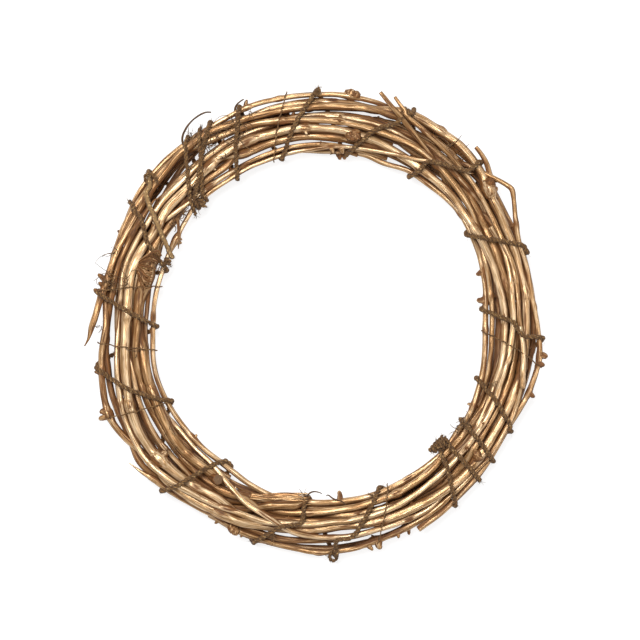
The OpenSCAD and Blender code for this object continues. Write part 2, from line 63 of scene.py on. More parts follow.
# The ring's middle in the row frame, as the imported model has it
RING_MIDDLE = np.array([2.07, -0.749, -0.14]) * MM
HOUR_ANGLE = math.radians(30)
UP = np.array([0.0, 0.0, 1.0])
# Loose fibre never reaches below this, so that it stays clear of the table
LOWEST = 0.3 * MM
# Wisps stay between these heights, inside the outline of the bundle
WISP_LOWEST, WISP_HIGHEST = 6 * MM, 22.5 * MM
# How far a tube's end point stands out, as a share of its radius
TIP_RISE = 0.06
# Ridges round a cane: how many, and how strong each set is
RIDGES = ((3, 1.0), (5, 0.8), (6, 0.6))
# A cane is built with a seed this much past the one that it's laid with
BUILD_SEED = 500
# Shift of the grain from one cane, twine and ply to the next, in mm, so that no two match
CANE_SHIFT, TWINE_SHIFT, PLY_SHIFT = 137.0, 61.0, 977.0


# ---- small helpers -------------------------------------------------------------------------------


def unit(vectors: np.ndarray) -> np.ndarray:
    """Scales vectors along their last axis to length one."""
    length = np.linalg.norm(vectors, axis=-1, keepdims=True)
    return vectors / np.maximum(length, 1e-12)


def smooth_step(low: float, high: float, value: np.ndarray) -> np.ndarray:
    """Rises smoothly from 0 where the value is low to 1 where it is high."""
    share = np.clip((value - low) / (high - low), 0.0, 1.0)
    return share * share * (3.0 - 2.0 * share)


def bell(value: np.ndarray, height: float, middle: float, width: float) -> np.ndarray:
    """Rises to a height round the middle and falls back to 0 on both sides of it."""
    return height * np.exp(-((value - middle) / width) ** 2)


def ring_point(hour: float, reach: float, height: float) -> np.ndarray:
    """Gives a point by its clock hour.

    Args:
        hour: clock hour, clockwise seen from above, with 12 at +Y.
        reach: distance from the ring's middle in millimetres.
        height: height above the ring's own zero in millimetres.

    Returns:
        The point in metres in the row frame.
    """
    angle = hour * HOUR_ANGLE
    return RING_MIDDLE + np.array([reach * math.sin(angle), reach * math.cos(angle), height]) * MM


def ring_angles(points: np.ndarray) -> np.ndarray:
    """Gives the angle of each point round the ring, clockwise from 12 o'clock."""
    flat = points[:, :2] - RING_MIDDLE[:2]
    return np.arctan2(flat[:, 0], flat[:, 1])


def clock_hours(points: np.ndarray) -> np.ndarray:
    """Gives the clock hour of each point of a line, running on without a jump."""
    return np.unwrap(ring_angles(points)) / HOUR_ANGLE


def dial_hours(points: np.ndarray) -> np.ndarray:
    """Gives the clock hour of each point, from 0 to 12."""
    return ring_angles(points) / HOUR_ANGLE % 12


def around(sides: int) -> np.ndarray:
    """Gives the angle of each corner of a ring."""
    return np.linspace(0.0, 2 * math.pi, sides, endpoint=False)


def drift(rng: np.random.Generator, along: np.ndarray, wave: float, size: float) -> np.ndarray:
    """Makes a slow random drift along a line.

    Args:
        rng: seeded random source.
        along: distance along the line, in metres.
        wave: typical length of one swing, in metres.
        size: largest swing.

    Returns:
        One value for each distance.
    """
    total = np.zeros_like(along)
    for octave, share in ((1.0, 0.6), (1.9, 0.3), (3.7, 0.1)):
        phase = rng.uniform(0, 2 * math.pi)
        stretch = rng.uniform(0.85, 1.15)
        total += share * np.sin(2 * math.pi * along * octave * stretch / wave + phase)
    return size * total


# ---- middle lines --------------------------------------------------------------------------------


@dataclass
class Centreline:
    """The middle line of a tube, with its radius at each point. All in metres."""

    points: np.ndarray
    radii: np.ndarray

    @property
    def along(self) -> np.ndarray:
        """Distance of each point from the start of the line."""
        steps = np.linalg.norm(np.diff(self.points, axis=0), axis=1)
        return np.concatenate([[0.0], np.cumsum(steps)])

    @property
    def tangents(self) -> np.ndarray:
        """Direction of the line at each point."""
        ahead = np.vstack([self.points[1:], self.points[-1:]])
        behind = np.vstack([self.points[:1], self.points[:-1]])
        return unit(ahead - behind)

    def resampled(self, step: float) -> "Centreline":
        """Runs a smooth curve through the points and takes even steps of about this length.

        Args:
            step: wanted distance between two points, in metres.

        Returns:
            The new middle line.
        """
        knots = self.along
        count = max(3, int(round(knots[-1] / step)) + 1)
        wanted = np.linspace(0.0, knots[-1], count)
        rows = np.column_stack([self.points, self.radii])
        slopes = np.empty_like(rows)
        slopes[1:-1] = (rows[2:] - rows[:-2]) / (knots[2:] - knots[:-2])[:, None]
        slopes[0] = (rows[1] - rows[0]) / (knots[1] - knots[0])
        slopes[-1] = (rows[-1] - rows[-2]) / (knots[-1] - knots[-2])
        i = np.clip(np.searchsorted(knots, wanted, side="right") - 1, 0, len(knots) - 2)
        width = (knots[i + 1] - knots[i])[:, None]
        t = (wanted - knots[i])[:, None] / width
        new = (rows[i] * (2 * t**3 - 3 * t**2 + 1) + slopes[i] * width * (t**3 - 2 * t**2 + t)
               + rows[i + 1] * (3 * t**2 - 2 * t**3) + slopes[i + 1] * width * (t**3 - t**2))
        return Centreline(new[:, :3], new[:, 3])

    def softened(self, reach: float) -> "Centreline":
        """Rounds the corners of an evenly stepped line.

        Args:
            reach: distance over which a corner is spread, in metres.

        Returns:
            The softened line, with its ends where they were.
        """
        step = self.along[-1] / (len(self.points) - 1)
        half = max(1, int(round(reach / step)))
        weights = np.hanning(2 * half + 3)[1:-1]
        weights /= weights.sum()
        padded = np.pad(self.points, ((half, half), (0, 0)), mode="edge")
        soft = np.column_stack([np.convolve(axis, weights, mode="valid") for axis in padded.T])
        soft[0], soft[-1] = self.points[0], self.points[-1]
        return Centreline(soft, self.radii)

    def frames(self) -> tuple[np.ndarray, np.ndarray]:
        """Carries two directions square to the line along it, without twisting.

        Returns:
            The two directions for each point.
        """
        tangents = self.tangents
        first = UP if abs(tangents[0][2]) < 0.9 else np.array([1.0, 0.0, 0.0])
        across = np.empty_like(tangents)
        for i, tangent in enumerate(tangents):
            first = first - tangent * first.dot(tangent)
            first = first / np.linalg.norm(first)
            across[i] = first
        return across, np.cross(tangents, across)

    def wandered(self, rng: np.random.Generator, waves: tuple[float, float], size: float,
                 calm: float | np.ndarray = 1.0) -> "Centreline":
        """Lets the line wander sideways.

        Args:
            rng: seeded random source.
            waves: length of one swing in each of the two directions, in metres.
            size: largest swing, in metres.
            calm: share of the swing that is left at each point.

        Returns:
            The wandering line.
        """
        sway = sum(drift(rng, self.along, wave, size)[:, None] * direction
                   for wave, direction in zip(waves, self.frames()))
        return Centreline(self.points + sway * np.reshape(calm, (-1, 1)), self.radii)


def merged(node: bpy.types.Object) -> tuple[np.ndarray, list[set[int]]]:
    """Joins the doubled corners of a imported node's mesh.

    Args:
        node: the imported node's object.

    Returns:
        The separate corner points, and the neighbours of each.
    """
    mesh = node.data
    corners = np.empty(len(mesh.vertices) * 3)
    mesh.vertices.foreach_get("co", corners)
    corners = corners.reshape(-1, 3)
    _, first, place = np.unique(np.round(corners / 1e-6).astype(np.int64), axis=0,
                                return_index=True, return_inverse=True)
    neighbours: list[set[int]] = [set() for _ in first]
    place = place.ravel()
    for edge in mesh.edges:
        a, b = place[edge.vertices[0]], place[edge.vertices[1]]
        if a != b:
            neighbours[a].add(int(b))
            neighbours[b].add(int(a))
    return corners[first], neighbours


def levels_from(start: int, neighbours: list[set[int]]) -> list[list[int]]:
    """Groups the corners of one closed surface by how many edges away they are.

    Args:
        start: corner to count from.
        neighbours: the neighbours of each corner.

    Returns:
        The corners at 0, 1, 2 ... edges from the start.
    """
    seen = {start}
    levels = [[start]]
    while levels[-1]:
        following = sorted({n for v in levels[-1] for n in neighbours[v]} - seen)
        seen.update(following)
        levels.append(following)
    return levels[:-1]


def node_blocks(node: bpy.types.Object) -> list[np.ndarray]:
    """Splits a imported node's corners into its separate closed surfaces.

    Args:
        node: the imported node's object.

    Returns:
        The corner points of each surface.
    """
    corners, neighbours = merged(node)
    left = set(range(len(corners)))
    blocks = []
    while left:
        found = [v for level in levels_from(min(left), neighbours) for v in level]
        left.difference_update(found)
        blocks.append(corners[found])
    return blocks


def centrelines(node: bpy.types.Object) -> list[Centreline]:
    """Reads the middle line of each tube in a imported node.

    A tube's two ends are the corners that all have neighbours with five edges. The rings
    of the tube are the corners at equal numbers of edges from one end.

    Args:
        node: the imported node's object.

    Returns:
        One middle line for each tube, each running clockwise round the ring.
    """
    corners, neighbours = merged(node)
    poles = [v for v, near in enumerate(neighbours) if near and all(len(neighbours[n]) == 5 for n in near)]
    lines, used = [], set()
    for pole in poles:
        if pole in used:
            continue
        levels = levels_from(pole, neighbours)
        used.update(v for level in levels for v in level)
        rings = [corners[level] for level in levels if len(level) > 2]
        points = np.array([ring.mean(axis=0) for ring in rings])
        radii = np.array([np.linalg.norm(ring - ring.mean(axis=0), axis=1).mean() for ring in rings])
        hours = clock_hours(points)
        if hours[-1] < hours[0]:
            points, radii = points[::-1], radii[::-1]
        lines.append(Centreline(points, radii))
    return lines


# ---- meshes --------------------------------------------------------------------------------------


@dataclass
class Tube:
    """A closed tube. Its two end points are its first and last corners.

    Each corner has its outward direction and its grain, which is its place round and along
    the tube in millimetres.
    """

    corners: np.ndarray
    out: np.ndarray
    grain: np.ndarray
    rings: int
    sides: int

    def faces(self) -> np.ndarray:
        """Numbers the faces.

        Returns:
            Rows of four corner numbers; a triangle repeats its last one.
        """
        k = np.arange(self.sides)
        after = (k + 1) % self.sides
        start = np.column_stack([np.zeros_like(k), 1 + after, 1 + k, 1 + k])
        below = 1 + np.repeat(np.arange(self.rings - 1), self.sides) * self.sides
        a, b = (below + np.tile(corner, self.rings - 1) for corner in (k, after))
        body = np.column_stack([a, b, b + self.sides, a + self.sides])
        last = 1 + (self.rings - 1) * self.sides
        tip = np.full_like(k, last + self.sides)
        return np.vstack([start, body, np.column_stack([last + k, last + after, tip, tip])])


@dataclass
class Shell:
    """Corners, four-sided faces and the surface values that the finishes read."""

    corners: list[np.ndarray] = field(default_factory=list)
    faces: list[np.ndarray] = field(default_factory=list)
    values: dict[str, list[np.ndarray]] = field(default_factory=dict)
    count: int = 0

    def add(self, tube: Tube, shift: float, **values: float | np.ndarray) -> None:
        """Adds a tube.

        Args:
            tube: the tube.
            shift: how far its grain is moved along, so that no two tubes match, in millimetres.
            values: what the finishes read, one value for the tube or one for each corner.
        """
        size = len(tube.corners)
        self.corners.append(tube.corners)
        self.faces.append(tube.faces() + self.count)
        self.values.setdefault("grain", []).append(tube.grain + UP * shift)
        for name, value in values.items():
            self.values.setdefault(name, []).append(np.broadcast_to(value, size))
        self.count += size

    def build(self, name: str) -> bpy.types.Object:
        """Makes the object.

        Args:
            name: the object's name.

        Returns:
            The new object, linked to the scene and smooth shaded.
        """
        corners, faces = np.vstack(self.corners), np.vstack(self.faces)
        four_sided = faces[:, 2] != faces[:, 3]
        loops = faces.ravel()[np.column_stack([np.ones((len(faces), 3), bool), four_sided]).ravel()]
        starts = np.concatenate([[0], np.cumsum(3 + four_sided)[:-1]])
        mesh = bpy.data.meshes.new(name)
        mesh.vertices.add(len(corners))
        mesh.vertices.foreach_set("co", corners.astype(np.float32).ravel())
        mesh.loops.add(len(loops))
        mesh.loops.foreach_set("vertex_index", loops.astype(np.int32))
        mesh.polygons.add(len(faces))
        mesh.polygons.foreach_set("loop_start", starts.astype(np.int32))
        mesh.polygons.foreach_set("use_smooth", np.ones(len(faces), bool))
        mesh.update(calc_edges=True)
        for key, parts in self.values.items():
            data = np.concatenate(parts)
            kind, slot = ("FLOAT_VECTOR", "vector") if data.ndim == 2 else ("FLOAT", "value")
            layer = mesh.attributes.new(key, kind, "POINT")
            layer.data.foreach_set(slot, data.astype(np.float32).ravel())
        piece = bpy.data.objects.new(name, mesh)
        bpy.context.scene.collection.objects.link(piece)
        return piece


def sweep(line: Centreline, profile: np.ndarray) -> Tube:
    """Places rings of corners along a middle line.

    Args:
        line: the middle line.
        profile: radius for each ring and side, in metres.

    Returns:
        The tube.
    """
    rings, sides = profile.shape
    across, over = line.frames()
    cos, sin = np.cos(around(sides)), np.sin(around(sides))
    out = across[:, None, :] * cos[None, :, None] + over[:, None, :] * sin[None, :, None]
    corners = line.points[:, None, :] + out * profile[:, :, None]
    along = line.along / MM
    grain = np.stack([cos * profile / MM, sin * profile / MM, along[:, None].repeat(sides, 1)], axis=2)
    tangents = line.tangents[[0, -1]]
    backward_forward = np.array([[-1.0], [1.0]])
    tips = tangents * profile[[0, -1]].mean(axis=1)[:, None] * (TIP_RISE * backward_forward)
    ends = (line.points[[0, -1]] + tips, tangents * backward_forward, UP * along[[0, -1], None])
    return Tube(*(np.vstack([end[:1], rows.reshape(-1, 3), end[1:]])
                  for end, rows in zip(ends, (corners, out, grain))), rings, sides)


def round_tube(line: Centreline, sides: int) -> Tube:
    """Places plain round rings of the line's own radius along it."""
    return sweep(line, np.repeat(line.radii[:, None], sides, 1))


def ribbon(points: np.ndarray, widths: np.ndarray, thickness: float, sides: int) -> Tube:
    """Places flat oval rings along a line, for a strip of bark that lies face up.

    Args:
        points: points along the strip, in metres.
        widths: full width at each point, in metres.
        thickness: full thickness, in metres.
        sides: corners in each ring.

    Returns:
        The strip as a tube.
    """
    line = Centreline(points, widths / 2)
    tube = round_tube(line, sides)
    tangents = line.tangents
    flat = unit(UP - tangents * (tangents @ UP)[:, None])
    body = tube.corners[1:-1].reshape(len(points), sides, 3) - points[:, None, :]
    height = np.einsum("ijk,ik->ij", body, flat)
    squash = (thickness / widths)[:, None]
    body -= flat[:, None, :] * (height * (1 - squash))[:, :, None]
    tube.corners[1:-1] = (points[:, None, :] + body).reshape(-1, 3)
    rows = tube.out[1:-1].reshape(len(points), sides, 3)
    lift = np.einsum("ijk,ik->ij", rows, flat)
    rows = unit(rows * 0.4 + flat[:, None, :] * np.sign(lift)[:, :, None])
    tube.out[1:-1] = rows.reshape(-1, 3)
    return tube


def curl_path(start: np.ndarray, way: np.ndarray, length: float, bend: float, steps: int,
              rng: np.random.Generator) -> np.ndarray:
    """Draws a loose fibre's path that wanders and curls.

    Args:
        start: first point, in metres.
        way: first direction.
        length: whole length, in metres.
        bend: how many radians it turns over its length.
        steps: how many points it has.
        rng: seeded random source.

    Returns:
        The points.
    """
    axis = unit(rng.normal(0, 1, 3) + UP * 1.5 * rng.choice([-1.0, 1.0]))
    points = [start]
    heading = unit(way)
    for _ in range(steps - 1):
        heading = unit(heading + np.cross(axis, heading) * bend / steps * rng.uniform(0.6, 1.4))
        axis = unit(axis + rng.normal(0, 0.15, 3))
        points.append(points[-1] + heading * length / (steps - 1))
    return np.array(points)


def with_ends(rows: np.ndarray) -> np.ndarray:
    """Adds the first and last ring's mean, for a tube's two end points."""
    return np.concatenate([[rows[0].mean()], rows.ravel(), [rows[-1].mean()]])


# ---- finishes ------------------------------------------------------------------------------------

# Settings of the arithmetic nodes, which hold their result between 0 and 1
TIMES = {"operation": "MULTIPLY", "use_clamp": True}
TIMES_PLUS = {"operation": "MULTIPLY_ADD", "use_clamp": True}
MINUS = {"operation": "SUBTRACT", "use_clamp": True}
# Settings of a smooth rise from 0 to 1, and of a mix of colours, with its colour output
RISE = {"interpolation_type": "SMOOTHSTEP"}
COLOURS = {"data_type": "RGBA", "output": 2}


def linear(hex_colour: str) -> tuple[float, float, float, float]:
    """Turns an sRGB hex colour to linear light.

    Args:
        hex_colour: six hex digits after a #.

    Returns:
        Red, green, blue and alpha.
    """
    parts = [int(hex_colour[i:i + 2], 16) / 255 for i in (1, 3, 5)]
    light = [p / 12.92 if p <= 0.04045 else ((p + 0.055) / 1.055) ** 2.4 for p in parts]
    return (light[0], light[1], light[2], 1.0)


def set_inputs(node: bpy.types.Node, inputs: dict) -> None:
    """Fills a node's input sockets.

    Args:
        node: the shader node.
        inputs: socket name or number to a value, or to an output socket to link from.
    """
    for key, value in inputs.items():
        if isinstance(value, bpy.types.NodeSocket):
            node.id_data.links.new(value, node.inputs[key])
        else:
            node.inputs[key].default_value = value


def add_node(tree: bpy.types.NodeTree, kind: str, inputs: dict, output: int | str = 0,
             stops: tuple[tuple[float, str], ...] = (), **settings: object) -> bpy.types.NodeSocket:
    """Adds a shader node with its settings and links.

    Args:
        tree: the material's node tree.
        kind: the node's type, without its ShaderNode prefix.
        inputs: socket name or number to a value, or to an output socket to link from.
        output: name or number of the output that is wanted.
        stops: place and hex colour of each stop of a colour ramp.
        settings: properties of the node by name.

    Returns:
        The wanted output socket.
    """
    node = tree.nodes.new("ShaderNode" + kind)
    for name, value in settings.items():
        setattr(node, name, value)
    set_inputs(node, inputs)
    for _ in stops[2:]:
        node.color_ramp.elements.new(0.5)
    for i, (place, colour) in enumerate(stops):
        node.color_ramp.elements[i].position = place
        node.color_ramp.elements[i].color = linear(colour)
    return node.outputs[output]


def streaks(tree: bpy.types.NodeTree, width_mm: float, length_mm: float,
            detail: float) -> bpy.types.NodeSocket:
    """Adds noise drawn out along the grain of a cane or strand.

    Args:
        tree: the material's node tree.
        width_mm: width of one streak.
        length_mm: length of one streak.
        detail: octaves of finer noise.

    Returns:
        The noise value socket.
    """
    grain = add_node(tree, "Attribute", {}, "Vector", attribute_name="grain")
    scale = (1 / width_mm, 1 / width_mm, 1 / length_mm)
    place = add_node(tree, "Mapping", {"Vector": grain, "Scale": scale})
    return add_node(tree, "TexNoise", {"Vector": place, "Scale": 1.0, "Detail": detail, "Roughness": 0.6})


@dataclass(frozen=True)
class Finish:
    """A material made of nodes round one shader. Each kind gives its shader's inputs."""

    name: str

    def inputs(self, tree: bpy.types.NodeTree) -> dict:
        """Gives the shader's inputs, as set_inputs takes them."""
        raise NotImplementedError

    def build(self) -> bpy.types.Material:
        """Makes the material.

        Returns:
            The finished material.
        """
        material = bpy.data.materials.new(self.name)
        material.use_nodes = True
        tree = material.node_tree
        set_inputs(tree.nodes["Principled BSDF"], self.inputs(tree))
        return material


@dataclass(frozen=True)
class GoldSprayedVine(Finish):
    """Grapevine cane with its bark on, sprayed with champagne gold metallic paint.

    The paint lies thick and bright where the spray reached, and thins to red-brown bark round
    the joints and along the cracks of the bark. In the creases between canes and on their sides the
    red-brown is painted shade, partly also bark that the spray missed.
    """

    name: str = "grapevine_cane_champagne_gold_sprayed"
    paint_dark: str = "#80552A"
    paint_mid: str = "#BA9162"
    # The lightest paint colour also serves as the painted highlight along raised fibres
    paint_light: str = "#E9CBA3"
    bark_dark: str = "#3E1F07"
    bark_light: str = "#8E5B28"
    cut_wood: str = "#6B5238"
    # Bark fibres are 0.4 mm wide and 14 mm long; drawn twice as wide, so that they can be seen
    fibre_width_mm: float = 0.8
    fibre_length_mm: float = 14.0
    # The bark splits about every 2 mm round the cane, in cracks some 20 mm long
    crack_width_mm: float = 1.1
    crack_length_mm: float = 20.0
    crack_from: float = 0.53
    crack_full: float = 0.63
    crack_wear: float = 0.5
    # Thin places in the paint are about 3 mm wide and 22 mm long
    patch_width_mm: float = 2.6
    patch_length_mm: float = 22.0
    patch_from: float = 0.46
    patch_full: float = 0.66
    patch_wear: float = 0.45
    # A swollen joint holds this much less paint
    joint_wear: float = 0.45
    # Reach of the spray at which paint starts to show, and at which it hides the bark
    shown_from: float = 0.06
    shown_full: float = 0.52
    cut_share: float = 0.8
    metallic: float = 0.55
    paint_roughness: float = 0.34
    bark_roughness: float = 0.72
    bump_mm: float = 0.2
    bump_strength: float = 0.8

    def inputs(self, tree: bpy.types.NodeTree) -> dict:
        """Works out the paint, the bark under it and their relief.

        Args:
            tree: the material's node tree.

        Returns:
            The shader's inputs.
        """
        add = partial(add_node, tree)
        cover, joint, tone, cut = (add("Attribute", {}, "Fac", attribute_name=name)
                                   for name in ("cover", "joint", "tone", "cut"))
        fibres = streaks(tree, self.fibre_width_mm, self.fibre_length_mm, 3.0)
        splits = streaks(tree, self.crack_width_mm, self.crack_length_mm, 1.5)
        patches = streaks(tree, self.patch_width_mm, self.patch_length_mm, 2.0)
        cracks, thin_places, fine = (
            add("MapRange", {"Value": noise, "From Min": low, "From Max": high}, **RISE)
            for noise, low, high in ((splits, self.crack_from, self.crack_full),
                                     (patches, self.patch_from, self.patch_full), (fibres, 0.3, 0.7)))
        # How much paint shows: the spray's reach, less thin patches, bark cracks and joints. The reach holds
        # painted shade: creases and cane sides lose paint and show dark bark
        thin = add("Math", {0: thin_places, 1: self.patch_wear}, **TIMES)
        worn = add("Math", {0: cracks, 1: self.crack_wear, 2: thin}, **TIMES_PLUS)
        held = add("Math", {0: joint, 1: -self.joint_wear, 2: 1.0}, **TIMES_PLUS)
        reach = add("Math", {0: cover, 1: held}, **TIMES)
        left = add("Math", {0: reach, 1: worn}, **MINUS)
        shown = add("MapRange", {"Value": left, "From Min": self.shown_from, "From Max": self.shown_full},
                    **RISE)
        # Each cane's own tone and its fine fibres make the paint lighter or darker. The fibres are also the
        # bump's raised streaks, so the paint lighter on them is a painted highlight and the bark darker
        # between them is painted shade
        cane_tone = add("Math", {0: tone, 1: 0.5, 2: -0.03}, **TIMES_PLUS)
        lightness_and_highlight = add("Math", {0: fine, 1: 0.5, 2: cane_tone}, **TIMES_PLUS)
        paint = add("ValToRGB", {"Fac": lightness_and_highlight},
                    stops=((0.2, self.paint_dark), (0.48, self.paint_mid), (0.8, self.paint_light)))
        bark = add("ValToRGB", {"Fac": fibres}, stops=((0.3, self.bark_dark), (0.7, self.bark_light)))
        skin = add("Mix", {0: shown, 6: bark, 7: paint}, **COLOURS)
        bare = add("Math", {0: cut, 1: self.cut_share}, **TIMES)
        raised = add("Math", {0: fine, 1: 0.5, 2: 0.5}, **TIMES_PLUS)
        height = add("Math", {0: cracks, 1: -0.5, 2: raised}, **TIMES_PLUS)
        bump = {"Strength": self.bump_strength, "Distance": self.bump_mm * MM, "Height": height}
        return {
            "Base Color": add("Mix", {0: bare, 6: skin, 7: linear(self.cut_wood)}, **COLOURS),
            "Metallic": add("Math", {0: shown, 1: self.metallic}, **TIMES),
            "Roughness": add("MapRange", {"Value": shown, "To Min": self.bark_roughness,
                                          "To Max": self.paint_roughness}),
            "Normal": add("Bump", bump),
        }


@dataclass(frozen=True)
class JuteTwine(Finish):
    """Jute twine, spun from dyed brown fibre and caught by stray flecks of the gold spray.

    Spun fibre scatters light, so it looks matt and a little dusty. The darker grooves between
    its strands are painted shade: the colour darkens where the bump sinks.
    """

    name: str = "jute_twine_spun_brown"
    dark: str = "#271505"
    mid: str = "#5C3D1B"
    light: str = "#98713F"
    fleck: str = "#DDB880"
    # A spun strand is about 0.3 mm wide; flecks of paint are about 1 mm
    strand_mm: float = 0.32
    fleck_mm: float = 1.1
    fleck_from: float = 0.55
    fleck_full: float = 0.72
    fleck_share: float = 0.55
    gold_dust_and_highlight: float = 0.25
    roughness: float = 0.88
    sheen: float = 0.08
    bump_mm: float = 0.12
    bump_strength: float = 0.8

    def inputs(self, tree: bpy.types.NodeTree) -> dict:
        """Works out the spun fibre and the gold that it caught.

        Args:
            tree: the material's node tree.

        Returns:
            The shader's inputs.
        """
        add = partial(add_node, tree)
        strands = streaks(tree, self.strand_mm, self.strand_mm * 6, 2.0)
        cover = add("Attribute", {}, "Fac", attribute_name="cover")
        place = add("TexCoord", {}, "Object")
        spots = add("TexNoise", {"Vector": place, "Scale": 1 / (self.fleck_mm * MM), "Detail": 3.0})
        # Dark where the strands' bump sinks: painted shade in the grooves
        fibre = add("ValToRGB", {"Fac": strands},
                    stops=((0.28, self.dark), (0.5, self.mid), (0.75, self.light)))
        caught = add("MapRange", {"Value": spots, "From Min": self.fleck_from, "From Max": self.fleck_full},
                     **RISE)
        reached = add("Math", {0: cover, 1: self.fleck_share}, **TIMES)
        flecks = add("Math", {0: caught, 1: reached}, **TIMES)
        # On the smooth strand the value goes past 1, which lightens it toward gold: partly gold dust, partly
        # a painted highlight, strongest on its top
        smooth = add("Math", {0: cover, 1: 1.0}, **MINUS)
        share = add("Math", {0: smooth, 1: self.gold_dust_and_highlight, 2: flecks}, **TIMES_PLUS)
        bump = {"Strength": self.bump_strength, "Distance": self.bump_mm * MM, "Height": strands}
        return {
            "Base Color": add("Mix", {0: share, 6: fibre, 7: linear(self.fleck)}, **COLOURS),
            "Roughness": self.roughness,
            "Sheen Weight": self.sheen,
            "Normal": add("Bump", bump),
        }


@dataclass(frozen=True)
class DryTendril(Finish):
    """Grapevine tendril, air dried: thin, dark and woody, paler on the crests of its grain, a painted
    highlight.
    """

    name: str = "grapevine_tendril_air_dried"
    dark: str = "#2A1A0F"
    light: str = "#6B4C2E"
    grain_mm: float = 0.35
    roughness: float = 0.8
    bump_mm: float = 0.08
    bump_strength: float = 0.6

    def inputs(self, tree: bpy.types.NodeTree) -> dict:
        """Works out the dry wood's grain.

        Args:
            tree: the material's node tree.

        Returns:
            The shader's inputs.
        """
        grain = streaks(tree, self.grain_mm, self.grain_mm * 8, 2.0)
        bump = {"Strength": self.bump_strength, "Distance": self.bump_mm * MM, "Height": grain}
        # The colour follows the bump: paler on the crests, a painted highlight, darker in the grooves,
        # painted shade
        return {
            "Base Color": add_node(tree, "ValToRGB", {"Fac": grain},
                                   stops=((0.3, self.dark), (0.7, self.light))),
            "Roughness": self.roughness,
            "Normal": add_node(tree, "Bump", bump),
        }


@dataclass(frozen=True)
class StudioPaper(Finish):
    """White background paper, matt and evenly lit, so that it gives the eye nothing."""

    name: str = "background_paper_matt_white"
    colour: str = "#A0A0A0"
    glow_colour: str = "#F4F4F4"
    glow: float = 0.86

    def inputs(self, tree: bpy.types.NodeTree) -> dict:
        """Gives plain matt paper with a soft glow of its own."""
        return {"Base Color": linear(self.colour), "Roughness": 1.0, "Specular IOR Level": 0.0,
                "Emission Color": linear(self.glow_colour), "Emission Strength": self.glow}


# ---- canes ---------------------------------------------------------------------------------------


class EndStyle(Enum):
    """How the end of a cane looks."""

    CUT = "cut"
    POINTED = "pointed"
    TORN = "torn"


@dataclass(frozen=True)
class Bud:
    """A bud or spur on a cane. Lean is in degrees round the cane: 0 is up, 90 outward."""

    hour: float
    lean: float
    length_mm: float
    thickness_mm: float
    forward: float = 0.4


@dataclass(frozen=True)
class CaneDetail:
    """What sets one cane apart: its ends, its buds, the depth of its ridges, its tone."""

    tone: float
    start: EndStyle = EndStyle.CUT
    end: EndStyle = EndStyle.CUT
    ridge: float = 0.03
    # Share by which the free start is thinner, and share of paint that the cane missed
    slim: float = 0.0
    dark: float = 0.0
    # Clock hours between which the cane missed the paint; everywhere if none are given
    dark_hours: tuple[float, float] | None = None
    swellings: tuple[float, ...] = ()
    buds: tuple[Bud, ...] = ()


